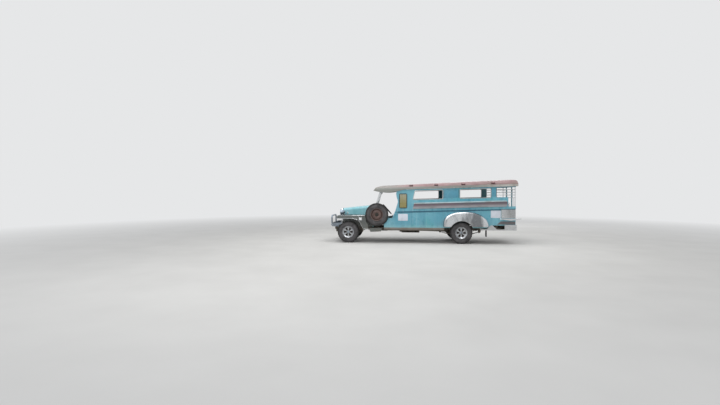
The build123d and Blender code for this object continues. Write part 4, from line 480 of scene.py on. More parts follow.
@dataclass(frozen=True)
class WheelAlloy:
    """An alloy rim: bright on its face and barrel, dark on the rusty drum, and with painted shade in the
    windows behind the face.
    """

    name: str
    face: float
    centre: Flat
    shade_ring_radii: Flat = (0.052, 0.149)
    windows: float = 6.0

    def make(self) -> Material:
        """Builds the material.

        Returns:
            The material.
        """
        tree = Tree(self.name)
        across = tree.math("ABSOLUTE", tree.axis(Along.Y))
        behind = tree.band(across, self.face - 0.006, self.face - 0.011)
        x, z, radius = tree.from_axle(self.centre)
        # Six lobes round the hub, in the windows' ring and behind the outer face: painted shade in the window
        # recesses
        lobes = tree.math("COSINE", tree.times(tree.math("ARCTAN2", z, x), self.windows))
        around = tree.band(lobes, -0.35, -0.13)
        inner, outer = self.shade_ring_radii
        ring = tree.times(tree.band(radius, inner, inner + 0.004), tree.band(radius, outer, outer - 0.004))
        face = tree.band(across, self.face + 0.012, self.face + 0.008)
        painted_window_shade = tree.times(around, ring, face, 0.88)
        stain = tree.band(tree.noise(26.0, 7.0), 0.44, 0.70, 0.0, 0.45)
        bright = tree.blend(stain, "B4B7BB", "77756F")
        dark = tree.blend(tree.band(tree.noise(30.0, 6.0), 0.4, 0.7), "17130F", "3B2A20")
        # The dark rusty drum, together with the painted shade in the windows
        drum_and_window_shade = tree.math("MAXIMUM", behind, painted_window_shade)
        metal = tree.math("SUBTRACT", 1.0, tree.times(drum_and_window_shade, 0.8))
        rough = tree.plus(tree.band(tree.noise(40.0, 6.0), 0.3, 0.75, 0.14, 0.34), tree.times(drum_and_window_shade, 0.4))
        tree.bump((tree.noise(160.0, 3.0), 0.00012))
        return tree.finish(Base_Color=tree.blend(drum_and_window_shade, bright, dark), Metallic=metal, Roughness=rough)


@dataclass(frozen=True)
class RoofPaint:
    """The roof: faded red that bleaches to white at the visor, with a grey-white band along its lower edge."""

    name: str = "faded_roof_paint"
    red: str = "997D7E"
    bleached: str = "8E8A86"
    deep: str = "84696A"
    edge: str = "868883"
    eave: float = 1.736
    edge_height: float = 0.080

    def make(self) -> Material:
        """Builds the material.

        Returns:
            The material.
        """
        tree = Tree(self.name)
        patches = tree.band(tree.noise(1.6, 7.0), 0.38, 0.66)
        red = tree.blend(patches, self.red, self.deep)
        chalk = tree.band(tree.noise(7.0, 8.0, (0.3, 1.0, 1.0)), 0.48, 0.72, 0.0, 0.55)
        red = tree.blend(chalk, red, "AD9694")
        ragged = tree.plus(tree.axis(Along.X), tree.band(tree.noise(3.0, 6.0), 0.3, 0.7, -0.22, 0.22))
        colour = tree.blend(tree.band(ragged, 0.35, 1.05), red, self.bleached)
        wavy = tree.plus(tree.raked(), tree.band(tree.noise(5.0, 5.0), 0.3, 0.7, -0.012, 0.012))
        top = self.eave + self.edge_height + RAKE * RAKE_START
        edge = tree.blend(tree.band(ragged, -1.5, -2.6), self.edge, "B9B7B1")
        colour = tree.blend(tree.band(wavy, top, top - 0.014), colour, edge)
        streaks = tree.band(tree.noise(6.0, 7.0, (1.0, 1.0, 0.12)), 0.50, 0.74, 0.0, 0.5)
        colour = tree.blend(streaks, colour, "7E766B")
        colour = tree.rusted(colour, 0.7)
        facing = tree.nodes.new("ShaderNodeSeparateXYZ")
        tree.links.new(tree.nodes.new("ShaderNodeNewGeometry").outputs["True Normal"], facing.inputs[0])
        lining = tree.blend(tree.band(tree.noise(8.0, 6.0), 0.4, 0.7), "CFC9B8", "A8A08D")
        colour = tree.blend(tree.band(facing.outputs[2], -0.25, -0.45), colour, lining)
        tree.bump((tree.noise(2.6, 2.0), 0.003), (tree.noise(180.0, 3.0), 0.0001))
        return tree.finish(Base_Color=colour, Roughness=tree.band(tree.noise(9.0, 6.0), 0.3, 0.7, 0.42, 0.66))


@dataclass(frozen=True)
class SignBand:
    """The long strip under the windows: silver edges round a brown band that reddens in places."""

    name: str = "weathered_sign_band"
    silver: str = "9D9EA2"
    edge: str = "BFD2D6"
    brown: str = "62606A"
    red: str = "77606A"
    low: float = 1.108
    high: float = 1.302

    def make(self) -> Material:
        """Builds the material.

        Returns:
            The material.
        """
        tree = Tree(self.name)
        share = tree.band(tree.raked(), self.low + RAKE * RAKE_START, self.high + RAKE * RAKE_START)
        band = tree.blend(tree.band(tree.noise(2.4, 5.0, (0.5, 1.0, 1.0)), 0.40, 0.60), self.brown, self.red)
        band = tree.blend(tree.band(share, 0.30, 0.56), "938C92", band)
        colour = tree.blend(tree.band(share, 0.30, 0.26), band, self.silver)
        colour = tree.blend(tree.band(share, 0.80, 0.84), colour, self.edge)
        grime = tree.band(tree.noise(8.0, 8.0, (0.4, 1.0, 1.0)), 0.45, 0.75, 0.0, 0.6)
        colour = tree.blend(grime, colour, "6F716B")
        worn = tree.band(tree.noise(20.0, 6.0), 0.3, 0.7, 0.28, 0.50)
        tree.bump((tree.noise(6.0, 3.0), 0.001), (tree.noise(160.0, 2.0), 0.00005))
        return tree.finish(Base_Color=colour, Roughness=worn, Metallic=0.35)


@dataclass(frozen=True)
class OchrePane:
    """The yellowed quarter pane: paler at its top, in a dark frame."""

    name: str = "yellowed_pane"
    span: Flat = (0.514, 0.771)
    rise: Flat = (1.133, 1.608)
    frame: float = 0.024

    def make(self) -> Material:
        """Builds the material.

        Returns:
            The material.
        """
        tree = Tree(self.name)
        colour = tree.blend(tree.band(tree.axis(Along.Z), 1.30, 1.58), "8C8453", "A09F8C")
        colour = tree.blend(tree.band(tree.noise(14.0, 6.0), 0.45, 0.72, 0.0, 0.5), colour, "857C45")
        for along, (low, high) in ((Along.X, self.span), (Along.Z, self.rise)):
            spot = tree.axis(along)
            before = tree.math("LESS_THAN", spot, low + self.frame)
            past = tree.math("GREATER_THAN", spot, high - self.frame)
            colour = tree.blend(tree.math("MAXIMUM", before, past), colour, "1D3238")
        tree.bump((tree.noise(12.0, 3.0), 0.0006))
        worn = tree.band(tree.noise(30.0, 5.0), 0.3, 0.7, 0.22, 0.42)
        return tree.finish(Base_Color=colour, Roughness=worn, Coat_Weight=0.3)


@dataclass(frozen=True)
class LampGlass:
    """A moulded lamp lens with upright ribs."""

    name: str
    colour: str
    deep: str
    clear: float = 0.35

    def make(self) -> Material:
        """Builds the material.

        Returns:
            The material.
        """
        tree = Tree(self.name)
        ribs = tree.noise(120.0, 1.0, (1.0, 1.0, 0.02))
        colour = tree.blend(tree.band(ribs, 0.40, 0.60), self.deep, self.colour)
        worn = tree.band(tree.noise(25.0, 5.0), 0.3, 0.7, 0.08, 0.26)
        tree.bump((ribs, 0.0006))
        tree.fix(tree.shader, Transmission_Weight=self.clear, IOR=1.49, Coat_Weight=0.5)
        return tree.finish(Base_Color=colour, Roughness=worn)


@dataclass(frozen=True)
class ClearGlass:
    """Window glass with a slight tint and dust at its corners."""

    name: str = "window_glass"

    def make(self) -> Material:
        """Builds the material.

        Returns:
            The material.
        """
        tree = Tree(self.name)
        colour = tree.blend(tree.band(tree.noise(4.0, 7.0), 0.5, 0.8), "E4EEEC", "B9BDB4")
        dusty = tree.band(tree.noise(6.0, 8.0), 0.45, 0.80, 0.01, 0.12)
        return tree.finish(Base_Color=colour, Roughness=dusty, Transmission_Weight=1.0, IOR=1.46)


@dataclass(frozen=True)
class Vinyl:
    """Seat vinyl with a leather grain, rubbed pale where people sit."""

    name: str
    colour: str
    rubbed: str

    def make(self) -> Material:
        """Builds the material.

        Returns:
            The material.
        """
        tree = Tree(self.name)
        rubbing = tree.band(tree.noise(4.0, 7.0), 0.42, 0.70, 0.0, 0.65)
        colour = tree.blend(rubbing, self.colour, self.rubbed)
        cracks = tree.band(tree.cells(300.0), 0.0, 0.35, 0.30, 0.0)
        worn = tree.band(tree.noise(9.0, 6.0), 0.3, 0.7, 0.34, 0.58)
        tree.bump((tree.cells(340.0), 0.0004), (tree.noise(28.0, 4.0), 0.0008))
        return tree.finish(Base_Color=tree.blend(cracks, colour, "120A09"), Roughness=worn, Sheen_Weight=0.08)


@dataclass(frozen=True)
class TyreRubber:
    """Tyre rubber: dark on the tread, browner with dust on the sidewalls."""

    name: str
    rubber: str
    dust: str
    dust_share: float
    centre: Flat
    fold: float
    wall: Flat

    def make(self) -> Material:
        """Builds the material.

        Returns:
            The material.
        """
        tree = Tree(self.name)
        patches = tree.band(tree.noise(10.0, 7.0), 0.34, 0.72, 0.0, self.dust_share)
        colour = tree.blend(patches, self.rubber, self.dust)
        _, _, radius = tree.from_axle(self.centre, self.fold)
        wall = tree.band(radius, self.wall[1], self.wall[0])
        dusty = tree.band(tree.noise(5.0, 6.0), 0.34, 0.62, 0.25, 0.70)
        colour = tree.blend(tree.times(wall, dusty), colour, "626062")
        specks = tree.band(tree.noise(130.0, 4.0), 0.60, 0.72, 0.0, 0.4)
        worn = tree.band(tree.noise(18.0, 6.0), 0.3, 0.7, 0.66, 0.90)
        tree.bump((tree.noise(300.0, 3.0), 0.00025), (tree.noise(40.0, 4.0), 0.0005))
        return tree.finish(Base_Color=tree.blend(specks, colour, "57534D"), Roughness=worn)


class Finish(Enum):
    """Every finish on the vehicle."""

    BODY = BodyPaint()
    PILLAR = Coat("pillar_blue_paint", "4F93AB", "639FB2", "3A7E95", gloss=0.28, rust=0.2, dust_share=0.0)
    HOOD = Coat("aqua_hood_paint", "78B9C3", "98CAD4", "5BA5AC", gloss=0.34, rust=0.25, dust_share=0.2)
    ROOF = RoofPaint()
    # The stainless' large upright light and dark patches are painted reflections
    STAINLESS = Metal(
        "polished_stainless", "D9DCDF", "6E7276", 0.16, (0.02, 1.0, 1.0), tarnish_and_reflection_share=0.85,
        patch=(2.4, 2.4, 0.8), patch_edges=(0.46, 0.57), waviness=0.006, dust_share=0.35
    )
    FENDER = Metal(
        "dull_fender_sheet", "6F7473", "4E504D", 0.34, (0.05, 1.0, 1.0), rust=0.4, waviness=0.004,
        dust_share=0.5
    )
    SILL = Metal(
        "sill_sheet", "8A8681", "6A635C", 0.34, (0.03, 1.0, 1.0), rust=0.5, waviness=0.003, dust_share=0.6
    )
    DULL_CHROME = Metal("dull_chrome", "8F9BA7", "59626B", 0.28, rust=0.45, tarnish_and_reflection_share=0.6, dust_share=0.4)
    CHROME = Metal("chrome_plate", "DADCDE", "9DA0A2", 0.07, rust=0.35, tarnish_and_reflection_share=0.35, dust_share=0.3)
    ALLOY = Metal("wheel_alloy", "C2C4C5", "7F7D78", 0.22, tarnish_and_reflection_share=0.45, dust_top=0.7, dust_share=0.25)
    FRONT_RIM = WheelAlloy("front_wheel_alloy", 0.741, FRONT_WHEEL[::2])
    REAR_RIM = WheelAlloy("rear_wheel_alloy", 0.771, REAR_WHEEL[::2])
    RUSTY_RIM = Coat(
        "brown_rim_paint", "5A4743", "7C665F", "33231F", gloss=0.55, rust=0.9, lacquer=0.0, dust_share=0.0
    )
    FRAME_BLACK = Coat(
        "chassis_black", "1C1B1A", "2E2A26", "100F0F", gloss=0.6, rust=1.0, lacquer=0.0, dust_top=1.2,
        dust_share=0.7
    )
    # A dark plate that stands for the shade under the rear wing
    VALANCE = Coat("painted_shade_plate", "56555A", "706D72", "39373A", gloss=0.45, lacquer=0.0, dust_share=0.3)
    CASTING = Coat(
        "oily_casting", "2A2826", "3D3833", "151413", gloss=0.48, rust=1.2, lacquer=0.0, dust_top=1.2,
        dust_share=0.6
    )
    FLOOR_MAT = Coat(
        "worn_floor", "2D2B29", "4A4640", "1A1918", gloss=0.62, rust=0.6, lacquer=0.0, dust_top=3.0,
        dust_share=0.5
    )
    BLACK = Coat("black_moulding", "15161A", "26272B", "0B0B0C", gloss=0.42, lacquer=0.0, dust_share=0.2)
    FLAP = Coat("flap_rubber", "161616", "2A2825", "0C0C0C", gloss=0.75, lacquer=0.0, dust_share=0.7)
    BLANK = Coat(
        "blank_white_sheet", "CBD2DE", "DCE1EA", "A9AFBA", gloss=0.36, lacquer=0.1, dust_top=0.9, dust_share=0.3
    )
    SIGN = SignBand()
    PANE = OchrePane()
    GLASS = ClearGlass()
    CLEAR_LENS = LampGlass("clear_lens", "E3E7EA", "AEB6BC")
    RED_LENS = LampGlass("red_lens", "7A1A1E", "4A0D10")
    AMBER_LENS = LampGlass("amber_lens", "B4611A", "7A3C0C")
    MARKER_LENS = LampGlass("white_marker_lens", "F2F4F6", "D5D9DD", clear=0.0)
    ROOF_LENS = LampGlass("dark_red_lens", "6E2A30", "4A171C", clear=0.0)
    SEAT = Vinyl("red_brown_vinyl", "4B1D1B", "74423A")
    PIPING = Vinyl("black_piping", "1A1718", "33302E")
    ROAD_TYRE = TyreRubber("road_tyre_rubber", "1C1C1E", "403E3C", 0.7, MIDWAY, HALF_WHEELBASE, (0.290, 0.335))
    OLD_TYRE = TyreRubber("old_tyre_rubber", "191919", "403D3B", 0.5, SPARE_WHEEL[::2], 0.0, (0.300, 0.352))

    def material(self) -> Material:
        """The finish's material, built once."""
        return bpy.data.materials.get(self.value.name) or self.value.make()


# Modelling tools


def deselect() -> None:
    """Leaves nothing selected."""
    bpy.ops.object.select_all(action="DESELECT")


def activate(piece: Piece) -> None:
    """Selects one object alone and makes it active.

    Args:
        piece: The object.
    """
    deselect()
    piece.select_set(True)
    bpy.context.view_layer.objects.active = piece


@contextmanager
def editing(piece: Piece) -> Iterator[None]:
    """Edit mode on one object, with everything in it selected.

    Args:
        piece: The object.

    Returns:
        A context that leaves edit mode at its end.
    """
    activate(piece)
    bpy.ops.object.mode_set(mode="EDIT")
    bpy.ops.mesh.select_mode(type="VERT")
    bpy.ops.mesh.select_all(action="SELECT")
    try:
        yield
    finally:
        bpy.ops.object.mode_set(mode="OBJECT")


def pick_faces(piece: Piece, wanted: Callable[[bmesh.types.BMFace], bool]) -> None:
    """Selects the faces that a rule wants, in edit mode.

    Args:
        piece: The object in edit mode.
        wanted: The rule.
    """
    bpy.ops.mesh.select_mode(type="FACE")
    mesh = bmesh.from_edit_mesh(piece.data)
    for face in mesh.faces:
        face.select_set(wanted(face))
    bmesh.update_edit_mesh(piece.data)


def outward(piece: Piece) -> None:
    """Merges a mesh's doubles and turns its faces outwards.

    Args:
        piece: The closed piece.
    """
    with editing(piece):
        bpy.ops.mesh.remove_doubles(threshold=0.00002)
        bpy.ops.mesh.normals_make_consistent(inside=False)


def smooth(piece: Piece, angle: float) -> None:
    """Shades a piece smooth except at edges sharper than an angle in degrees."""
    activate(piece)
    bpy.ops.object.shade_smooth_by_angle(angle=math.radians(angle))


def modify(piece: Piece, kind: str, **settings: object) -> None:
    """Adds a modifier and applies it.

    Args:
        piece: The piece.
        kind: The modifier's type.
        settings: Its settings by name.
    """
    activate(piece)
    modifier = piece.modifiers.new(kind.lower(), kind)
    for name, value in settings.items():
        setattr(modifier, name, value)
    bpy.ops.object.modifier_apply(modifier=modifier.name)


def chain(name: str, points: Sequence[Point]) -> Piece:
    """A line of edges through points, extruded one after the other.

    Args:
        name: The new object's name.
        points: The places that the line passes.

    Returns:
        The object, at the origin.
    """
    deselect()
    bpy.ops.mesh.primitive_plane_add(size=0.01, location=(0, 0, 0))
    piece = bpy.context.object
    piece.name = name
    with editing(piece):
        bpy.ops.mesh.merge(type="CENTER")
        bpy.ops.transform.translate(value=points[0])
        for start, end in zip(points, points[1:]):
            step = Vector(end) - Vector(start)
            bpy.ops.mesh.extrude_region_move(TRANSFORM_OT_translate={"value": step})
    return piece


def turned(
    name: str, outline: Sequence[Flat], centre: Point, along: Along, facing: int = 1, steps: int = 40
) -> Piece:
    """A round piece, spun from an outline.

    Args:
        name: The new object's name.
        outline: Its points, each a radius and a place along the axis.
        centre: Where the axis places start from.
        along: The axis that it is round.
        facing: 1 where the outline's places run up the axis and -1 where they run down it.
        steps: How many flats it has.

    Returns:
        The closed piece.
    """
    axis = Vector([1.0 if i == along.value else 0.0 for i in range(3)])
    out = Vector((0.0, 0.0, 1.0)) if along is not Along.Z else Vector((1.0, 0.0, 0.0))
    middle = Vector(centre)
    closed = list(outline)
    if outline[0] != outline[-1]:
        # An end that is off the axis is capped by a point on it
        if outline[0][0] > 0.0:
            closed.insert(0, (0.0, outline[0][1]))
        if outline[-1][0] > 0.0:
            closed.append((0.0, outline[-1][1]))
    piece = chain(name, [tuple(middle + out * r + axis * a * facing) for r, a in closed])
    with editing(piece):
        bpy.ops.mesh.spin(steps=steps, angle=2 * math.pi, center=middle, axis=axis)
    outward(piece)
    return piece


def plate(name: str, points: Sequence[Point], push: Point, edge: float = 0.0, ring: float = 0.0) -> Piece:
    """A flat face through points, extruded to a thickness.

    Args:
        name: The new object's name.
        points: The outline's corners, in order.
        push: How far and which way the face is extruded.
        edge: How much its edges are bevelled.
        ring: The width that is left inside the outline, or 0 for a whole face.

    Returns:
        The closed piece.
    """
    piece = chain(name, points)
    with editing(piece):
        bpy.ops.mesh.edge_face_add()
        if ring:
            bpy.ops.mesh.inset(thickness=ring)
            bpy.ops.mesh.delete(type="ONLY_FACE")
            bpy.ops.mesh.select_all(action="SELECT")
        bpy.ops.mesh.extrude_region_move(TRANSFORM_OT_translate={"value": push})
        bpy.ops.mesh.select_all(action="SELECT")
        bpy.ops.mesh.normals_make_consistent(inside=False)
    if edge:
        modify(piece, "BEVEL", width=edge, segments=2, limit_method="ANGLE")
    return piece


def block(name: str, low: Point, high: Point, edge: float, segments: int = 3) -> Piece:
    """A block with bevelled edges.

    Args:
        name: The new object's name.
        low: Its lowest corner.
        high: Its highest corner.
        edge: The bevel's width.
        segments: How many flats the bevel has.

    Returns:
        The closed piece.
    """
    deselect()
    middle = (Vector(low) + Vector(high)) / 2
    bpy.ops.mesh.primitive_cube_add(size=1.0, location=middle)
    piece = bpy.context.object
    piece.name = name
    piece.scale = Vector(high) - Vector(low)
    bpy.ops.object.transform_apply(location=True, rotation=True, scale=True)
    with editing(piece):
        bpy.ops.mesh.bevel(offset=edge, segments=segments, profile=0.6, affect="EDGES")
    return piece


def tube(name: str, points: Sequence[Point], radius: float, closed: bool = False, sides: int = 3) -> Piece:
    """A bent rod through points.

    Args:
        name: The new object's name.
        points: The places that its middle passes.
        radius: The rod's radius.
        closed: Whether it joins up with its start.
        sides: How finely it is rounded.

    Returns:
        The closed piece.
    """
    piece = chain(name, points)
    if closed:
        with editing(piece):
            bpy.ops.mesh.select_all(action="DESELECT")
            mesh = bmesh.from_edit_mesh(piece.data)
            for vertex in mesh.verts:
                vertex.select_set(len(vertex.link_edges) == 1)
            bmesh.update_edit_mesh(piece.data)
            bpy.ops.mesh.edge_face_add()
    activate(piece)
    bpy.ops.object.convert(target="CURVE")
    piece = bpy.context.object
    piece.data.bevel_depth = radius
    piece.data.bevel_resolution = sides
    piece.data.use_fill_caps = True
    bpy.ops.object.convert(target="MESH")
    piece = bpy.context.object
    piece.name = name
    outward(piece)
    smooth(piece, 50.0)
    return piece


def rounded(corners: Sequence[Flat], radius: float, steps: int = 5) -> list[Flat]:
    """A closed outline's corners, each rounded by an arc.

    Args:
        corners: The outline's corners, in order.
        radius: The radius of each arc.
        steps: How many pieces each arc has.

    Returns:
        The rounded outline's points.
    """
    points = []
    for index, corner in enumerate(corners):
        here = Vector(corner)
        before = (Vector(corners[index - 1]) - here).normalized()
        after = (Vector(corners[(index + 1) % len(corners)]) - here).normalized()
        half = before.angle(after) / 2
        reach = radius / math.tan(half)
        middle = here + (before + after).normalized() * radius / math.sin(half)
        start = here + before * reach - middle
        end = here + after * reach - middle
        for step in range(steps + 1):
            share = step / steps
            spoke = (start * (1 - share) + end * share).normalized() * radius
            points.append(tuple(middle + spoke))
    return points


def moved_copy(piece: Piece, name: str, change: Matrix) -> Piece:
    """A copy of a piece with its own mesh.

    Args:
        piece: The piece.
        name: The copy's name.
        change: The matrix that moves or mirrors it.

    Returns:
        The copy.
    """
    other = piece.copy()
    other.data = piece.data.copy()
    other.name = name
    bpy.context.scene.collection.objects.link(other)
    other.data.transform(change)
    if change.determinant() < 0:
        other.data.flip_normals()
    return other


def mirrored(piece: Piece, name: str) -> Piece:
    """A piece's mirror image on the vehicle's other side."""
    return moved_copy(piece, name, Matrix.Scale(-1, 4, (0, 1, 0)))


def joined(pieces: Sequence[Piece], name: str) -> Piece:
    """Several pieces joined into one object.

    Args:
        pieces: The pieces.
        name: The object's name.

    Returns:
        The object.
    """
    deselect()
    for piece in pieces:
        piece.select_set(True)
    bpy.context.view_layer.objects.active = pieces[0]
    bpy.ops.object.join()
    piece = bpy.context.object
    piece.name = name
    piece.data.name = name
    return piece


def place(piece: Piece, finish: Finish, body: str = CHASSIS, angle: float = SHARP) -> None:
    """Finishes a piece: its shading, its material, and the body that carries it.

    Args:
        piece: The piece, in place.
        finish: Its finish.
        body: The CAD body that it rides on.
        angle: The angle in degrees past which an edge stays sharp.
    """
    smooth(piece, angle)
    piece.data.materials.clear()
    piece.data.materials.append(finish.material())
    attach(piece, body)
    LOG.info("%s on %s, %d faces", piece.name, body, len(piece.data.polygons))


def both_sides(
    piece: Piece, stem: str, finish: Finish, body: str = CHASSIS, angle: float = SHARP
) -> None:
    """Places a left-hand piece and its mirror image.

    Args:
        piece: The left-hand piece, in place.
        stem: The names' first part, before the side.
        finish: Their finish.
        body: The CAD body that both ride on.
        angle: The angle in degrees past which an edge stays sharp.
    """
    other = mirrored(piece, f"{stem}_right")
    piece.name = f"{stem}_left"
    place(piece, finish, body, angle)
    place(other, finish, body, angle)


def heads(name: str, places: Iterable[Point], normal: Point, radius: float, rise: float) -> Piece:
    """A row of domed rivet or bolt heads, as one piece.

    Args:
        name: The piece's name.
        places: Where the heads sit.
        normal: Which way they face.
        radius: The radius of a head.
        rise: How far a head stands out.

    Returns:
        The joined heads.
    """
    outline = ((radius, -rise * 0.5), (radius, rise * 0.35), (radius * 0.62, rise * 0.86), (0.0, rise))
    first = turned("head", outline, (0, 0, 0), Along.Z, steps=8)
    turn = Vector((0, 0, 1)).rotation_difference(Vector(normal)).to_matrix().to_4x4()
    copies = [moved_copy(first, f"head_{i}", Matrix.Translation(spot) @ turn) for i, spot in enumerate(places)]
    bpy.data.objects.remove(first)
    return joined(copies, name)


def row(front: float, pitch: float, count: int) -> list[float]:
    """Evenly spaced places along X, from the front one back."""
    return [front - pitch * index for index in range(count)]


def surface(node: str, start: Point, direction: Point) -> tuple[Vector, Vector]:
    """Where a line first meets a CAD node.

    Args:
        node: The node's name.
        start: Where the line starts.
        direction: Which way it goes.

    Returns:
        The place, and the way that the surface faces there.
    """
    hit, spot, normal, _ = bpy.data.objects[node].ray_cast(Vector(start), Vector(direction).normalized())
    if not hit:
        raise ValueError(f"no surface of {node} lies in front of {start}")
    return spot, normal


def seated(piece: Piece, name: str, spot: Vector, normal: Vector, ahead: Point) -> Piece:
    """A copy of a piece that was made at the origin, set on a surface.

    Args:
        piece: The piece, which stands up along +Z with its front along +X.
        name: The copy's name.
        spot: Where it sits.
        normal: The way the surface faces.
        ahead: Roughly where its front points.

    Returns:
        The copy.
    """
    up = normal.normalized()
    across = up.cross(Vector(ahead)).normalized()
    front = across.cross(up)
    turn = Matrix((front, across, up)).transposed().to_4x4()
    return moved_copy(piece, name, Matrix.Translation(spot) @ turn)


# Sub-assemblies


class Dressing:
    """Gives every CAD node its finish."""

    finishes: dict[Finish, tuple[str, ...]] = {
        Finish.BODY: ("body_side", "cowl", "rear_frame", "bench_bases", "front_seat_base"),
        Finish.HOOD: ("hood",),
        Finish.ROOF: ("roof",),
        Finish.FLOOR_MAT: ("floor",),
        Finish.FRAME_BLACK: (
            "floor_bearers", "chassis_frame", "leaf_springs", "tie_rod", "propshaft", "fuel_tank",
            "spare_carrier",
        ),
        Finish.BLACK: ("radiator", "steering_column", "steering_wheel"),
        Finish.CASTING: ("front_axle", "rear_axle", "knuckle", "engine", "exhaust"),
        Finish.ALLOY: ("corner_plates",),
        Finish.STAINLESS: ("rear_fender",),
        Finish.CHROME: (
            "rear_wings", "grille", "grab_rails", "windscreen_frame", "corner_bars", "rear_bumper",
        ),
        Finish.DULL_CHROME: ("front_bumper", "headlamps"),
        Finish.FENDER: ("front_fender", "side_steps"),
        Finish.SILL: ("sill_rails",),
        Finish.GLASS: ("windscreen_glass",),
        Finish.SIGN: ("sign_strips",),
        Finish.PANE: ("quarter_panels",),
        Finish.FLAP: ("mud_flaps",),
        Finish.FRONT_RIM: ("rim_front",),
        Finish.REAR_RIM: ("rim_rear",),
        Finish.RUSTY_RIM: ("spare_rim",),
        Finish.ROAD_TYRE: ("tyre",),
        Finish.OLD_TYRE: ("spare_tyre",),
        Finish.SEAT: ("bench", "front_seat"),
    }

    def finish_for(self, node: str) -> Finish:
        """The finish that a CAD node wears.

        Args:
            node: The node's name.

        Returns:
            The finish with the longest start of the node's name.
        """
        starts = {start: finish for finish, listed in self.finishes.items() for start in listed}
        return starts[max((start for start in starts if node.startswith(start)), key=len)]

    def dress(self, nodes: dict[str, Piece]) -> None:
        """Assigns the finishes.

        Args:
            nodes: The CAD nodes by name.
        """
        for name, node in nodes.items():
            node.data.materials.clear()
            node.data.materials.append(self.finish_for(name).material())
            LOG.info("%s wears %s", name, self.finish_for(name).value.name)


@dataclass
class Studio:
    """The floor, the lamps, the world and the camera at the photograph's place."""

    eye: Point = (0.585, 14.75, 1.56)
    turn: float = 5.97
    dip: float = 1.0
    lens: float = 21.5
    reach: float = 70.0
    fade: Flat = (6.0, 20.0)
    sky: float = 0.52
    sky_light: str = "FAFCFF"
    background: str = "E6E7E8"

    def floor(self) -> None:
        """A pale disc that fades into the background far from the vehicle."""
        deselect()
        bpy.ops.mesh.primitive_circle_add(vertices=96, radius=self.reach, fill_type="NGON", location=(0, 0, 0))
        disc = bpy.context.object
        disc.name = "studio_floor"
        with editing(disc):
            bpy.ops.mesh.inset(thickness=self.reach * 0.6)
        tree = Tree("pale_floor")
        tone = tree.blend(tree.band(tree.noise(0.9, 6.0), 0.3, 0.7), "C9C8C5", "D1D0CD")
        disc.data.materials.append(tree.finish(Base_Color=tone, Roughness=0.85))
        tree.bump((tree.noise(60.0, 3.0), 0.0006))
        away = tree.nodes.new("ShaderNodeVectorMath")
        away.operation = "LENGTH"
        tree.feed(away.inputs[0], tree.place)
        fade = tree.times(tree.seen(), tree.band(away.outputs["Value"], *self.fade))
        glow = tree.add("ShaderNodeEmission", Color=self.background)
        tree.fix(tree.output, Surface=tree.mix(fade, tree.shader.outputs[0], glow.outputs[0]))

    def world(self) -> None:
        """An even sky that looks nearly white to the camera and in glass and metal."""
        world = bpy.data.worlds.new("studio_sky")
        tree = Nodes(world)
        plain = tree.add("ShaderNodeBackground", Color=self.sky_light, Strength=self.sky)
        bright = tree.add("ShaderNodeBackground", Color=self.background)
        mixed = tree.mix(tree.seen(), plain.outputs[0], bright.outputs[0])
        tree.add("ShaderNodeOutputWorld", Surface=mixed)
        bpy.context.scene.world = world

    def lamp(self, name: str, spot: Point, target: Point, size: Flat, power: float) -> None:
        """A soft area lamp.

        Args:
            name: The lamp's name.
            spot: Where it is.
            target: Where it faces.
            size: Its width and height.
            power: Its power in watts.
        """
        deselect()
        bpy.ops.object.light_add(type="AREA", location=spot)
        lamp = bpy.context.object
        lamp.name = name
        lamp.data.shape = "RECTANGLE"
        lamp.data.size, lamp.data.size_y = size
        lamp.data.energy = power
        lamp.rotation_euler = (Vector(target) - Vector(spot)).to_track_quat("-Z", "Y").to_euler()

    def camera(self) -> None:
        """The camera, where the photographer stood."""
        data = bpy.data.cameras.new("photo_camera")
        data.lens, data.sensor_width, data.sensor_fit = self.lens, 36.0, "HORIZONTAL"
        camera = bpy.data.objects.new("photo_camera", data)
        bpy.context.scene.collection.objects.link(camera)
        turn, dip = math.radians(self.turn), math.radians(self.dip)
        ahead = Vector((math.sin(turn) * math.cos(dip), -math.cos(turn) * math.cos(dip), -math.sin(dip)))
        camera.location = self.eye
        camera.rotation_euler = ahead.to_track_quat("-Z", "Y").to_euler()
        bpy.context.scene.camera = camera

    def build(self) -> None:
        """Sets the whole studio up."""
        self.floor()
        self.world()
        for name, spot, height, size, power in (
            ("overhead_softbox", (0.5, 1.5, 7.0), 0.8, (9.0, 5.0), 380.0),
            ("left_softbox", (4.0, 10.0, 6.0), 0.9, (7.0, 4.0), 330.0),
            ("right_softbox", (-4.0, -10.0, 6.0), 0.9, (7.0, 4.0), 260.0),
        ):
            self.lamp(name, spot, (0, 0, height), size, power)
        self.camera()
        bpy.context.scene.view_settings.view_transform = "Standard"


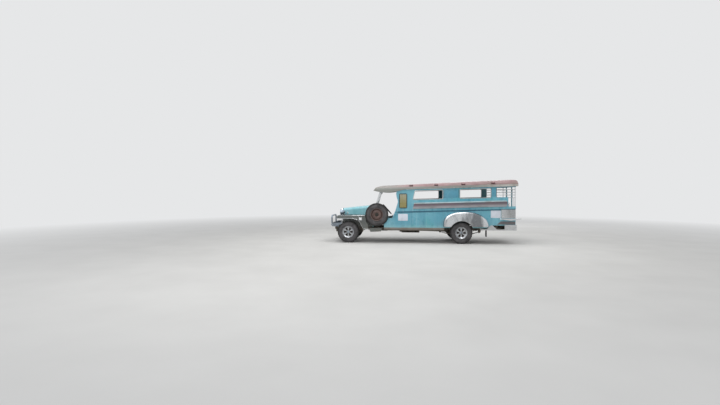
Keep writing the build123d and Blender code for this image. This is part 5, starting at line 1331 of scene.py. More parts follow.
@dataclass
class Tyres:
    """The four road tyres and the worn spare, each with a carcass and raised tread blocks."""

    radius: float = 0.350
    half_width: float = 0.1025
    bead: float = 0.188
    flange: float = 0.204
    bead_half: float = 0.084
    tread_share: float = 0.76
    block_rise: float = 0.0062
    outer_row: Flat = (0.56, 1.2)
    inner_row: Flat = (0.19, 0.52)
    tread_drop: float = 0.0065
    lug_drop: Flat = (0.028, 0.0095)
    lug_rise: float = 0.0016
    steps: int = 120
    spare_radius: float = 0.3725
    spare_half_width: float = 0.0935
    spare_bead: float = 0.203
    spare_flange: float = 0.220
    spare_bead_half: float = 0.076
    spare_block_rise: float = 0.0030

    def section(self, radius: float, half: float, bead: float, flange: float, bead_half: float) -> list[Flat]:
        """A tyre's closed section, as places out from its axle and along it.

        Args:
            radius: The radius of the tread's floor.
            half: Half the width at the bulge.
            bead: The radius at the bead.
            flange: The radius where the rim's flange ends.
            bead_half: Half the width between the flanges.

        Returns:
            The section's points, back to the first.
        """
        tread = half * self.tread_share
        wall = [
            (bead, bead_half), (flange + 0.003, bead_half + 0.0005), (flange + 0.009, bead_half + 0.0070),
            (flange + 0.014, bead_half + 0.0062), (flange + 0.034, half - 0.0035),
            (flange + 0.038, half - 0.0010), (flange + 0.043, half - 0.0012),
            (flange + 0.062, half - 0.0004), (flange + 0.082, half - 0.0030),
            (flange + 0.086, half - 0.0060), (radius - 0.032, half - 0.0098),
            (radius - 0.029, half - 0.0078), (radius - 0.015, tread + 0.0150),
            (radius - 0.0075, tread + 0.0092), (radius - 0.0020, tread),
        ]
        across = [(radius - 0.0012, tread * 0.58), (radius - 0.0004, tread * 0.50), (radius, tread * 0.20)]
        half_section = wall + across
        other = [(r, -a) for r, a in reversed(half_section)]
        return half_section + other + [half_section[0]]

    def tyre(self, name: str, centre: Point, sizes: tuple[float, ...], rise: float) -> Piece:
        """One tyre about the Y axis.

        Args:
            name: The piece's name.
            centre: The wheel's centre.
            sizes: The section's five sizes.
            rise: How far the tread blocks stand up.

        Returns:
            The closed tyre.
        """
        piece = turned(name, self.section(*sizes), centre, Along.Y, steps=self.steps)
        floor = sizes[0]
        tread = sizes[1] * self.tread_share

        def place_of(face: bmesh.types.BMFace) -> tuple[float, float, int]:
            """Where a face is.

            Args:
                face: The face.

            Returns:
                Its radius, its place across the tread, and its turn round the axle in steps.
            """
            spot = face.calc_center_median() - Vector(centre)
            turn = math.atan2(spot.z, spot.x) / (2 * math.pi) * self.steps
            return math.hypot(spot.x, spot.z), spot.y, math.floor(turn)

        def blocks(face: bmesh.types.BMFace) -> bool:
            """Picks the tread's blocks: wide ribs with the cuts between them staggered.

            Args:
                face: A face of the tyre.

            Returns:
                Whether it is part of a block.
            """
            radius, across, turn = place_of(face)
            if radius < floor - self.tread_drop:
                return False
            if tread * self.outer_row[0] < abs(across) < tread * self.outer_row[1]:
                return turn % 4 != (0 if across > 0 else 2)
            if tread * self.inner_row[0] < abs(across) < tread * self.inner_row[1]:
                return turn % 4 != (1 if across > 0 else 3)
            return abs(across) < tread * self.inner_row[0] and turn % 8 != 0

        def lugs(face: bmesh.types.BMFace) -> bool:
            """Whether a face is a lug at the tyre's shoulder."""
            radius, _, turn = place_of(face)
            return floor - self.lug_drop[0] < radius < floor - self.lug_drop[1] and turn % 4 in (1, 2)

        with editing(piece):
            pick_faces(piece, blocks)
            bpy.ops.mesh.inset(thickness=0.0016, depth=rise)
            pick_faces(piece, lugs)
            bpy.ops.mesh.inset(thickness=0.0014, depth=self.lug_rise)
        return piece

    def build(self) -> None:
        """Models a road tyre once and copies it to each wheel, then the spare."""
        sizes = (self.radius - self.block_rise, self.half_width, self.bead, self.flange, self.bead_half)
        first = self.tyre("road_tyre_front_left", FRONT_WHEEL, sizes, self.block_rise - 0.0004)
        tyres = {"front_left": first}
        for wheel, (x, y, z) in (
            ("rear_left", REAR_WHEEL),
            ("front_right", FRONT_WHEEL),
            ("rear_right", REAR_WHEEL),
        ):
            spot = Vector((x, y if wheel.endswith("left") else -y, z))
            shift = Matrix.Translation(spot - Vector(FRONT_WHEEL))
            tyres[wheel] = moved_copy(first, f"road_tyre_{wheel}", shift)
        for wheel, piece in tyres.items():
            place(piece, Finish.ROAD_TYRE, f"wheel_{wheel}", 28.0)
            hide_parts(f"tyre_{wheel}")
        sizes = (
            self.spare_radius - self.spare_block_rise - 0.0005,
            self.spare_half_width,
            self.spare_bead,
            self.spare_flange,
            self.spare_bead_half,
        )
        spare = self.tyre("spare_tyre_worn", SPARE_WHEEL, sizes, self.spare_block_rise)
        place(spare, Finish.OLD_TYRE, angle=28.0)
        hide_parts("spare_tyre")


@dataclass
class WheelFittings:
    """The nuts, valves and caps on the wheels, and the clamp that holds the spare."""

    nut_circle: float = 0.044
    nut_radius: float = 0.0085
    nut_base: float = 0.0565
    cap_radius: float = 0.031
    cap_base: float = 0.0715
    valve: Point = (0.112, 0.046, 0.112)
    rim_lip: float = 0.199
    weight_base: float = 0.0800
    weight_turns: Flat = (0.9, 4.1)
    clamp_half: Flat = (0.060, 0.016)

    def fittings(self, centre: Point) -> Piece:
        """A left wheel's six nuts, cap and valve.

        Args:
            centre: The wheel's centre.

        Returns:
            The joined fittings.
        """
        x, y, z = centre
        parts = []
        nut = ((self.nut_radius, 0.0), (self.nut_radius, 0.011), (self.nut_radius * 0.7, 0.015), (0.0, 0.0195))
        for index in range(6):
            a, b = (self.nut_circle * share for share in cosine_and_sine(30 + 60 * index))
            parts.append(turned("nut", nut, (x + a, y + self.nut_base, z + b), Along.Y, steps=6))
        cap = (
            (self.cap_radius, 0.0), (self.cap_radius, 0.0040), (self.cap_radius * 0.86, 0.0062),
            (self.cap_radius * 0.80, 0.0045), (self.cap_radius * 0.45, 0.0066), (0.0, 0.0074),
        )
        parts.append(turned("cap", cap, (x, y + self.cap_base, z), Along.Y, steps=32))
        stem = ((0.0045, 0.0), (0.0045, 0.014), (0.0056, 0.0145), (0.0056, 0.026), (0.0, 0.0275))
        spot = tuple(c + shift for c, shift in zip(centre, self.valve))
        parts.append(turned("stem", stem, spot, Along.Y, steps=10))
        return joined(parts, "wheel_fittings")

    def balance_weights(self, centre: Point) -> Piece:
        """Two small clip-on weights at the rim's lip.

        Args:
            centre: The wheel's centre.

        Returns:
            The joined weights.
        """
        x, y, z = centre
        weights = []
        for middle in self.weight_turns:
            turns = [middle + s * 0.045 for s in range(-2, 3)]
            spots = [
                (x + self.rim_lip * math.cos(t), y + self.weight_base, z + self.rim_lip * math.sin(t))
                for t in turns
            ]
            weights.append(tube("weight", spots, 0.0036, sides=2))
        return joined(weights, "balance_weights")

    def spare_clamp(self) -> None:
        """The bar and the wing nut that hold the spare on its carrier."""
        x, y, z = SPARE_WHEEL
        wide, high = self.clamp_half
        corners = ((-wide, -high), (wide, -high), (wide, high), (-wide, high))
        bar = plate("clamp_bar", [(x + a, y + 0.0080, z + b) for a, b in corners], (0.0, 0.008, 0.0), 0.003)
        rod = ((0.008, 0.0), (0.008, 0.030), (0.0065, 0.032), (0.0, 0.032))
        bolt = turned("clamp_bolt", rod, (x, y + 0.010, z), Along.Y)
        hub = ((0.016, 0.0), (0.013, 0.012), (0.0, 0.012))
        nut = turned("clamp_nut", hub, (x, y + 0.016, z), Along.Y, steps=20)
        parts = [bar, bolt, nut]
        for s in (-1, 1):
            ear = [(x + s * a, y + b, z) for a, b in ((0.010, 0.022), (0.030, 0.026), (0.040, 0.036))]
            parts.append(tube("clamp_ear", ear, 0.005))
        place(joined(parts, "spare_clamp"), Finish.FRAME_BLACK, angle=40.0)

    def build(self) -> None:
        """Models one wheel's fittings and copies them to the other three."""
        for kind, maker, finish in (
            ("nuts_and_cap", self.fittings, Finish.DULL_CHROME),
            ("balance_weights", self.balance_weights, Finish.ALLOY),
        ):
            first = maker(FRONT_WHEEL)
            back = moved_copy(first, "copy", Matrix.Translation(Vector(REAR_WHEEL) - Vector(FRONT_WHEEL)))
            for piece, axle in ((first, "front"), (back, "rear")):
                other = mirrored(piece, f"{kind}_{axle}_right")
                piece.name = f"{kind}_{axle}_left"
                place(piece, finish, f"wheel_{axle}_left", 30.0)
                place(other, finish, f"wheel_{axle}_right", 30.0)
        self.spare_clamp()


@dataclass
class Pad:
    """One padded piece: its box, how far its faces may swell and where its sewn channels run."""

    name: str
    low: Point
    high: Point
    pitch: float
    voxel: float
    swell: float
    most: float = 0.022
    frames: int = 20
    edge: float = 0.022
    pressure: float = 4.0
    stiffness: float = 20.0
    border: float = 0.055
    channel_half: float = 0.010
    border_half: float = 0.009
    channel_depth: float = 0.011
    crown_fall: float = 0.004
    skin: float = 0.035
    back_height: float = 0.2

    def start(self) -> Piece:
        """The pad's first shape: a bevelled block a little inside its box.

        Returns:
            The block.
        """
        low = tuple(c + self.swell for c in self.low)
        high = tuple(c - self.swell for c in self.high)
        return block(self.name, low, high, self.edge, 4)

    def inflate(self, piece: Piece) -> None:
        """Swells the pad with a pressure simulation, and keeps each point near where it began.

        Args:
            piece: The pad's first shape.
        """
        modify(piece, "REMESH", mode="VOXEL", voxel_size=self.voxel, adaptivity=0.0)
        begin = [vertex.co.copy() for vertex in piece.data.vertices]
        activate(piece)
        cloth = piece.modifiers.new("cloth", "CLOTH")
        settings = cloth.settings
        settings.use_pressure = True
        settings.uniform_pressure_force = self.pressure
        settings.effector_weights.gravity = 0.0
        settings.quality = 4
        settings.tension_stiffness = self.stiffness
        settings.compression_stiffness = self.stiffness
        cloth.point_cache.frame_start, cloth.point_cache.frame_end = 1, self.frames
        for frame in range(1, self.frames + 1):
            bpy.context.scene.frame_set(frame)
        bpy.ops.object.modifier_apply(modifier=cloth.name)
        bpy.context.scene.frame_set(1)
        for vertex, first in zip(piece.data.vertices, begin):
            step = vertex.co - first
            if step.length > self.most:
                vertex.co = first + step.normalized() * self.most

    def keep_inside(self, piece: Piece) -> None:
        """Holds every point in the pad's box, so it rests flat on its base and clears its neighbours.

        Args:
            piece: The pad.
        """
        for vertex in piece.data.vertices:
            for axis in range(3):
                vertex.co[axis] = min(max(vertex.co[axis], self.low[axis]), self.high[axis])

    def channels(self, piece: Piece, face: Along, sign: int) -> None:
        """Presses sewn channels into the pad's seating face.

        Args:
            piece: The pad.
            face: The axis that the seating face looks along.
            sign: Which way along it.
        """
        run = Along.X if self.high[0] - self.low[0] > self.high[1] - self.low[1] else Along.Y
        across = [a for a in Along if a not in (run, face)][0]
        surface = self.high[face.value] if sign > 0 else self.low[face.value]
        count = max(round((self.high[run.value] - self.low[run.value]) / self.pitch), 1)
        pitch = (self.high[run.value] - self.low[run.value]) / count
        border = (self.border, self.high[across.value] - self.low[across.value] - self.border)
        for vertex in piece.data.vertices:
            depth = abs(vertex.co[face.value] - surface)
            if depth > self.skin:
                continue
            along = (vertex.co[run.value] - self.low[run.value]) / pitch
            off = abs(along - round(along)) * pitch
            side = vertex.co[across.value] - self.low[across.value]
            inside = border[0] - 0.02 < side < border[1] + 0.02
            seam = math.exp(-((off / self.channel_half) ** 2)) if inside else 0.0
            edges = sum(math.exp(-(((side - b) / self.border_half) ** 2)) for b in border)
            crown = math.cos(math.pi * off / pitch) ** 2 if inside else 1.0
            press = self.channel_depth * max(seam, min(edges, 1.0)) + self.crown_fall * crown
            vertex.co[face.value] -= sign * press

    def build(self) -> Piece:
        """Makes the pad, swollen, with channels in its seating face.

        Returns:
            The pad.
        """
        piece = self.start()
        self.inflate(piece)
        modify(piece, "SUBSURF", levels=1, render_levels=1)
        along, across, rise = Vector(self.high) - Vector(self.low)
        seating, sign = (Along.Z, 1)
        if rise > self.back_height:
            seating, sign = (Along.X, 1) if along < across else (Along.Y, -1)
        self.channels(piece, seating, sign)
        self.keep_inside(piece)
        return piece


@dataclass
class Seats:
    """The facing benches and the front seat, in channelled vinyl with piped edges."""

    cushion: tuple[Point, Point] = ((-2.700, 0.430, 0.776), (0.480, 0.7377, 0.8663))
    back: tuple[Point, Point] = ((-2.700, 0.7527, 0.930), (0.480, 0.7977, 1.320))
    front_cushion: tuple[Point, Point] = ((0.575, -0.740, 0.8003), (1.010, 0.740, 0.8953))
    front_back: tuple[Point, Point] = ((0.575, -0.740, 0.8956), (0.665, 0.740, 1.330))
    piping: float = 0.0045
    piping_inset: float = 0.006

    def pipe(self, low: Point, high: Point, face: Along, sign: int) -> Piece:
        """The piping round a pad's seating face.

        Args:
            low: The pad's lowest corner.
            high: The pad's highest corner.
            face: The axis that the seating face looks along.
            sign: Which way along it.

        Returns:
            The closed ring.
        """
        inset = self.piping_inset
        run = [axis for axis in (0, 1, 2) if axis != face.value]
        corners = [
            (low[run[0]] + inset, low[run[1]] + inset),
            (high[run[0]] - inset, low[run[1]] + inset),
            (high[run[0]] - inset, high[run[1]] - inset),
            (low[run[0]] + inset, high[run[1]] - inset),
        ]
        level = (high if sign > 0 else low)[face.value] - sign * 0.016
        spots = []
        for a, b in rounded(corners, 0.020, 4):
            spot = [0.0, 0.0, 0.0]
            spot[run[0]], spot[run[1]], spot[face.value] = a, b, level
            spots.append(tuple(spot))
        return tube("piping", spots, self.piping, closed=True, sides=2)

    def upholster(self, piece: Piece, node: str) -> None:
        """Dresses a pad and puts it in a CAD node's place.

        Args:
            piece: The pad.
            node: The CAD node that it replaces.
        """
        place(piece, Finish.SEAT, angle=80.0)
        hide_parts(node)

    def bench(self) -> None:
        """The left bench's cushion and back, and their mirror images."""
        for stem, box, node in (
            ("bench_cushion", self.cushion, "bench_cushions"),
            ("bench_back", self.back, "bench_backs"),
        ):
            left = Pad(stem, *box, pitch=0.265, voxel=0.011, swell=0.008).build()
            right = mirrored(left, f"{stem}_right")
            left.name = f"{stem}_left"
            for piece in (left, right):
                self.upholster(piece, node)
        cushion = self.pipe(*self.cushion, Along.Z, 1)
        both_sides(cushion, "bench_cushion_piping", Finish.PIPING)
        back = self.pipe(*self.back, Along.Y, -1)
        both_sides(back, "bench_back_piping", Finish.PIPING)

    def front(self) -> None:
        """The front seat's full-width cushion and back."""
        for stem, box, node in (
            ("front_seat_cushion_pad", self.front_cushion, "front_seat_cushion"),
            ("front_seat_back_pad", self.front_back, "front_seat_back"),
        ):
            self.upholster(Pad(stem, *box, pitch=0.148, voxel=0.009, swell=0.010).build(), node)
        for stem, box, face in (
            ("front_cushion_piping", self.front_cushion, Along.Z),
            ("front_back_piping", self.front_back, Along.X),
        ):
            piping = self.pipe(*box, face, 1)
            piping.name = stem
            place(piping, Finish.PIPING)

    def build(self) -> None:
        """Makes every seat."""
        self.bench()
        self.front()


@dataclass
class WindowTrim:
    """The drawn metal frames round the side windows, the panels between them and the rail along the eave."""

    sill: float = 1.402
    top: float = 1.685
    front_window: tuple[float, float, float] = (0.333, 0.263, -0.613)
    rear_window: tuple[float, float, float] = (-1.151, -1.151, -2.106)
    corner: float = 0.034
    lap: float = 0.012
    frame_width: float = 0.020
    middle_panel: Flat = (-0.668, -1.096)
    rear_panel: Flat = (-2.138, -2.256)
    panel_rise: Flat = (1.430, 1.690)
    seam_inset: float = 0.021
    seam_half: float = 0.007
    eave_half: float = 0.884
    eave: float = 1.741

    def outline(self, ends: tuple[float, float, float], grow: float, y: float) -> list[Point]:
        """A window's outline.

        Args:
            ends: The front end's X at the sill and at the top, and the rear end's X.
            grow: How much the outline is grown on every side.
            y: How far out it lies.

        Returns:
            The rounded outline.
        """
        low, high, rear = ends[0] + grow, ends[1] + grow, ends[2] - grow
        corners = [
            (low, climb(low, self.sill - grow)), (high, climb(high, self.top + grow)),
            (rear, climb(rear, self.top + grow)), (rear, climb(rear, self.sill - grow)),
        ]
        return [(x, y, z) for x, z in rounded(corners, self.corner + grow, 5)]

    def frames(self) -> None:
        """A frame round each window, with the channel that its pane once slid in."""
        for stem, ends in (("front_window", self.front_window), ("rear_window", self.rear_window)):
            outer = self.outline(ends, self.lap, BODY_HALF - SUNK)
            frame = plate("frame", outer, (0.0, 0.0036, 0.0), 0.0012, self.frame_width)
            both_sides(frame, f"{stem}_frame", Finish.ALLOY, angle=40.0)
            inner = self.outline(ends, -0.002, BODY_HALF - 0.012)
            channel = tube("channel", inner, 0.0050, closed=True, sides=2)
            both_sides(channel, f"{stem}_channel", Finish.FLAP)

    def panels(self) -> None:
        """The pressed panels on the pillars, with a dark rubber seam at each end."""
        for stem, (front, rear) in (("middle_pillar", self.middle_panel), ("rear_pillar", self.rear_panel)):
            low, high = self.panel_rise
            corners = [(front, climb(front, low)), (front, climb(front, high))]
            corners += [(rear, climb(rear, high)), (rear, climb(rear, low))]
            outline = [(x, BODY_HALF - SUNK, z) for x, z in rounded(corners, 0.022, 4)]
            sheet = plate("panel", outline, (0.0, 0.0040, 0.0), 0.0018)
            both_sides(sheet, f"{stem}_panel", Finish.PILLAR, angle=40.0)
            seams = []
            for x in (front + self.seam_inset, rear - self.seam_inset):
                behind, ahead = x - self.seam_half, x + self.seam_half
                foot, head = low - 0.012, high + 0.010
                edge = [(behind, foot), (ahead, foot), (ahead, head), (behind, head)]
                spots = [(a, BODY_HALF - SUNK, climb(a, b)) for a, b in edge]
                seams.append(plate("seam", spots, (0.0, 0.0030, 0.0), 0.0010))
            both_sides(joined(seams, "seams"), f"{stem}_seams", Finish.FLAP)

    def eave_rail(self) -> None:
        """The drip rail along the roof's lower edge."""
        spots = [(x, self.eave_half - 0.001, climb(x, self.eave)) for x in (0.560, -0.3, -1.2, -2.1, -2.860)]
        rail = tube("drip_rail", spots, 0.0065)
        both_sides(rail, "drip_rail", Finish.ALLOY)

    def build(self) -> None:
        """Makes the frames, the panels and the rail."""
        self.frames()
        self.panels()
        self.eave_rail()


@dataclass
class SideTrim:
    """The door's edge, the bare white squares, and the rows of rivets along the body."""

    door_low: tuple[Flat, ...] = ((1.000, 0.813), (0.934, 0.944), (0.903, 1.012))
    door_high: tuple[Flat, ...] = (
        (0.898, 1.032), (0.846, 1.220), (0.811, 1.335), (0.822, 1.392), (0.848, 1.480), (0.862, 1.545),
        (0.868, 1.600), (0.860, 1.650), (0.842, 1.690),
    )
    sign_face: float = 0.8743
    front_square: tuple[Flat, Flat] = ((0.494, 0.805), (0.731, 0.952))
    rear_square: tuple[Flat, Flat] = ((-2.417, -2.112), (0.834, 1.069))
    sill_row: float = 0.530
    belt_row: float = 1.046
    sign_rows: Flat = (1.150, 1.262)

    def edge(self) -> None:
        """The bright bead on the door opening's rear edge."""
        spots = [(x, LOWER_HALF + 0.0005, z) for x, z in self.door_low]
        spots += [(x, BODY_HALF + 0.0005, z) for x, z in self.door_high]
        bead = tube("door_edge_bead", spots, 0.0055)
        both_sides(bead, "door_edge_bead", Finish.BLANK)

    def squares(self) -> None:
        """The blank white sheets on the lower body."""
        for stem, (span, rise) in (("front_square", self.front_square), ("rear_square", self.rear_square)):
            corners = [(x, z) for x, z in zip((*span, *span[::-1]), (rise[0], rise[0], rise[1], rise[1]))]
            outline = [(x, LOWER_HALF - 0.0003, z) for x, z in rounded(corners, 0.018, 4)]
            sheet = plate("square", outline, (0.0, 0.0018, 0.0), 0.0007)
            both_sides(sheet, stem, Finish.BLANK)

    def rivets(self) -> None:
        """Rivets above the sill and above the belt step."""
        sill = [(x, LOWER_HALF, self.sill_row) for x in row(1.22, 0.145, 13)]
        belt = [(x, BODY_HALF, climb(x, self.belt_row)) for x in row(0.86, 0.17, 20)]
        sign = [(x, self.sign_face, climb(x, z)) for z in self.sign_rows for x in row(0.28, 0.36, 8)]
        for stem, spots, finish in (
            ("sill_rivets", sill, Finish.BODY),
            ("belt_rivets", belt, Finish.BODY),
            ("sign_rivets", sign, Finish.ALLOY),
        ):
            both_sides(heads(stem, spots, (0, 1, 0), 0.0048, 0.0022), stem, finish)

    def build(self) -> None:
        """Makes the side trim."""
        self.edge()
        self.squares()
        self.rivets()


@dataclass
class Fenders:
    """The beads, rivets and marker lamps on the front fenders, and the beads on the rear ones."""

    outer: float = 0.840
    lip: tuple[Flat, ...] = (
        (2.796, 0.792), (2.420, 0.791), (2.290, 0.790), (2.195, 0.776), (2.110, 0.744), (2.062, 0.700),
        (2.026, 0.640), (2.000, 0.575), (1.968, 0.512), (1.935, 0.470), (1.894, 0.450), (1.765, 0.450),
    )
    marker: Flat = (2.028, 0.779)
    opening: float = 0.389
    opening_start: float = 31.5
    opening_span: float = 117.0
    pod_half: float = 0.940

    def front_beads(self) -> None:
        """The wired edge round the front wheel's arch, and the bead along the fender's top."""
        lip = tube("lip", [(x, self.outer - 0.004, z) for x, z in self.lip], 0.0060)
        both_sides(lip, "front_fender_lip", Finish.STAINLESS)
        top = tube("top", [(x, self.outer - 0.004, 0.8955) for x in (2.795, 2.4, 2.1, 1.88)], 0.0050)
        both_sides(top, "front_fender_bead", Finish.STAINLESS)
        spots = [(x, self.outer, 0.868) for x in row(2.76, 0.11, 8)]
        rivets = heads("rivets", spots, (0, 1, 0), 0.005, 0.0024)
        both_sides(rivets, "front_fender_rivets", Finish.ALLOY)

    def marker_lamps(self) -> None:
        """The white marker lamp on each front fender's side."""
        x, z = self.marker
        base = block("base", (x - 0.049, 0.838, z - 0.043), (x + 0.049, 0.848, z + 0.043), 0.004, 2)
        both_sides(base, "marker_lamp_base", Finish.CHROME)
        lens = block("lens", (x - 0.043, 0.846, z - 0.037), (x + 0.043, 0.868, z + 0.037), 0.008, 4)
        both_sides(lens, "marker_lamp_lens", Finish.MARKER_LENS)

    def rear_beads(self) -> None:
        """The rolled edge round the rear wheel's opening."""
        (cx, _, cz), y, r = REAR_WHEEL, self.pod_half - 0.0066, self.opening
        turns = [math.radians(self.opening_start + self.opening_span * i / 22) for i in range(23)]
        spots = [(cx + r * math.cos(turn), y, cz + r * math.sin(turn)) for turn in turns]
        bead = tube("opening_bead", spots, 0.0060)
        both_sides(bead, "rear_fender_bead", Finish.CHROME)

    def build(self) -> None:
        """Makes the fenders' fittings."""
        self.front_beads()
        self.marker_lamps()
        self.rear_beads()


@dataclass
class FrontEnd:
    """The headlamps' lenses, the grille's lamps and bolts, and the bumper's bolts."""

    lamp: Point = (2.722, 0.545, 0.992)
    lamp_radius: float = 0.074
    grille_face: float = 2.708
    parking: Flat = (0.352, 0.628)
    edge_bolts: tuple[float, ...] = (0.60, 0.73, 0.86, 0.99, 1.08)
    top_bolts: tuple[float, ...] = (-0.25, -0.08, 0.08, 0.25)
    bumper_face: float = 3.001
    bumper_bolts: tuple[float, ...] = (-0.62, -0.33, 0.33, 0.62)

    def headlamps(self) -> None:
        """A ribbed lens in each headlamp, and the screw that holds its rim."""
        r = self.lamp_radius
        outline = (
            (r, -0.0030), (r, 0.0020), (r * 0.96, 0.0048), (r * 0.80, 0.0092), (r * 0.55, 0.0126),
            (r * 0.28, 0.0142), (0, 0.0148),
        )
        lens = turned("lens", outline, self.lamp, Along.X, steps=48)
        both_sides(lens, "headlamp_lens", Finish.CLEAR_LENS)
        x, y, z = self.lamp
        screw = heads("screw", [(x - 0.004, y, z + 0.083)], (1, 0, 0.2), 0.0045, 0.0030)
        both_sides(screw, "headlamp_screw", Finish.ALLOY)

    def grille(self) -> None:
        """The amber parking lamps beside the slots, and the bolts round the grille's edge."""
        y, z = self.parking
        rim = ((0.036, 0.0), (0.036, 0.006), (0.033, 0.012), (0.029, 0.012), (0.029, 0.0), (0.036, 0.0))
        spot = (self.grille_face - 0.0006, y, z)
        both_sides(turned("bezel", rim, spot, Along.X), "parking_lamp_bezel", Finish.CHROME)
        lens = ((0.029, 0.001), (0.029, 0.010), (0.022, 0.017), (0.011, 0.0205), (0, 0.0215))
        both_sides(turned("lens", lens, spot, Along.X), "parking_lamp_lens", Finish.AMBER_LENS)
        spots = [(self.grille_face, s * 0.385, h) for s in (-1, 1) for h in self.edge_bolts]
        spots += [(self.grille_face, w, 1.094) for w in self.top_bolts]
        place(heads("grille_bolts", spots, (1, 0, 0), 0.0065, 0.0032), Finish.ALLOY)

    def bumper(self) -> None:
        """Domed bolts in the bumper bar and its hoop's feet."""
        spots = [(self.bumper_face, y, z) for y in self.bumper_bolts for z in (0.552, 0.616)]
        place(heads("bumper_bolts", spots, (1, 0, 0), 0.0105, 0.0055), Finish.CHROME)

    def build(self) -> None:
        """Makes the front's fittings."""
        self.headlamps()
        self.grille()
        self.bumper()


@dataclass
class Windscreen:
    """The rubber round the two panes, the wipers, and the mirror inside."""

    origin: Point = (1.544, 0.0, 1.2583)
    lean: float = 17.0
    pane: Flat = (0.549, 0.376)
    pane_middle: float = 0.2935
    pane_low: float = 0.038
    lap: float = 0.003

    def spot(self, y: float, up: float, out: float) -> Point:
        """A place on the leaning screen: across it, up it and out in front of it."""
        c, s = cosine_and_sine(self.lean)
        return (self.origin[0] - up * s + out * c, y, self.origin[2] + up * c + out * s)

    def rubbers(self) -> None:
        """The seal round each pane."""
        wide, high = self.pane
        left, right = self.pane_middle - wide / 2 + self.lap, self.pane_middle + wide / 2 - self.lap
        low, top = self.pane_low + self.lap, self.pane_low + high - self.lap
        corners = [(left, low), (right, low), (right, top), (left, top)]
        spots = [self.spot(y, up, -0.008) for y, up in rounded(corners, 0.016, 3)]
        seal = tube("seal", spots, 0.0055, closed=True, sides=2)
        both_sides(seal, "windscreen_seal", Finish.FLAP)

    def wipers(self) -> None:
        """A wiper for each pane, parked along its lower edge."""
        for stem, pivot, tip in (("left", 0.115, 0.470), ("right", -0.470, -0.115)):
            bends = ((pivot, 0.018, 0.016), (pivot + 0.04, 0.028, 0.019), ((pivot + tip) / 2, 0.062, 0.015))
            arm = tube("arm", [self.spot(*bend) for bend in bends], 0.0034, sides=2)
            blade = [(pivot + 0.02, 0.052), (tip, 0.062), (tip, 0.072), (pivot + 0.02, 0.062)]
            rubber = plate("blade", [self.spot(y, up, 0.004) for y, up in blade], (0.008, 0.0, 0.0025), 0.0012)
            knob = ((0.013, -0.012), (0.013, 0.004), (0.010, 0.008), (0.0, 0.009))
            first = turned("pivot", knob, (0, 0, 0), Along.Z, steps=20)
            c, s = cosine_and_sine(self.lean)
            post = seated(first, "pivot", Vector(self.spot(pivot, 0.018, 0.010)), Vector((c, 0, s)), (0, 1, 0))
            bpy.data.objects.remove(first)
            place(joined([arm, rubber, post], f"wiper_{stem}"), Finish.BLACK, angle=40.0)

    def mirror(self) -> None:
        """The mirror that hangs inside from the screen's top bar."""
        x, _, z = self.spot(0.0, 0.405, -0.075)
        shell = rounded([(-0.125, -0.030), (0.125, -0.030), (0.125, 0.030), (-0.125, 0.030)], 0.026)
        back = plate("shell", [(x, y, z + h) for y, h in shell], (0.018, 0.0, 0.0), 0.006)
        bends = [(x + 0.012, 0, z), (x + 0.040, 0, z + 0.012), self.spot(0.0, 0.430, -0.012)]
        stem = tube("stem", bends, 0.006)
        place(joined([back, stem], "cab_mirror"), Finish.BLACK, angle=40.0)
        face = [(y * 0.93, h * 0.84) for y, h in shell]
        glass = plate("cab_mirror_glass", [(x - 0.0012, y, z + h) for y, h in face], (0.002, 0.0, 0.0), 0.0006)
        place(glass, Finish.CHROME)

    def build(self) -> None:
        """Makes the screen's fittings."""
        self.rubbers()
        self.wipers()
        self.mirror()


@dataclass
class RoofLamps:
    """Eight low red lamps on the roof's sloping shoulders."""

    places: tuple[Flat, ...] = ((0.388, 1.862), (-0.404, 1.879), (-1.251, 1.902), (-2.165, 1.938))

    def build(self) -> None:
        """Models one lamp and seats a copy at each place."""
        base = block("base", (-0.062, -0.030, -0.006), (0.062, 0.030, 0.007), 0.004, 2)
        lens = block("lens", (-0.054, -0.023, 0.004), (0.054, 0.023, 0.026), 0.009, 4)
        for index, (x, z) in enumerate(self.places):
            spot, normal = surface("roof", (x, 1.4, z), (0, -1, 0))
            for part, stem, finish in ((base, "base", Finish.BLACK), (lens, "lens", Finish.ROOF_LENS)):
                piece = seated(part, "lamp", spot, normal, (1, 0, 0))
                both_sides(piece, f"roof_lamp_{stem}_{index + 1}", finish, angle=40.0)
        for part in (base, lens):
            bpy.data.objects.remove(part)


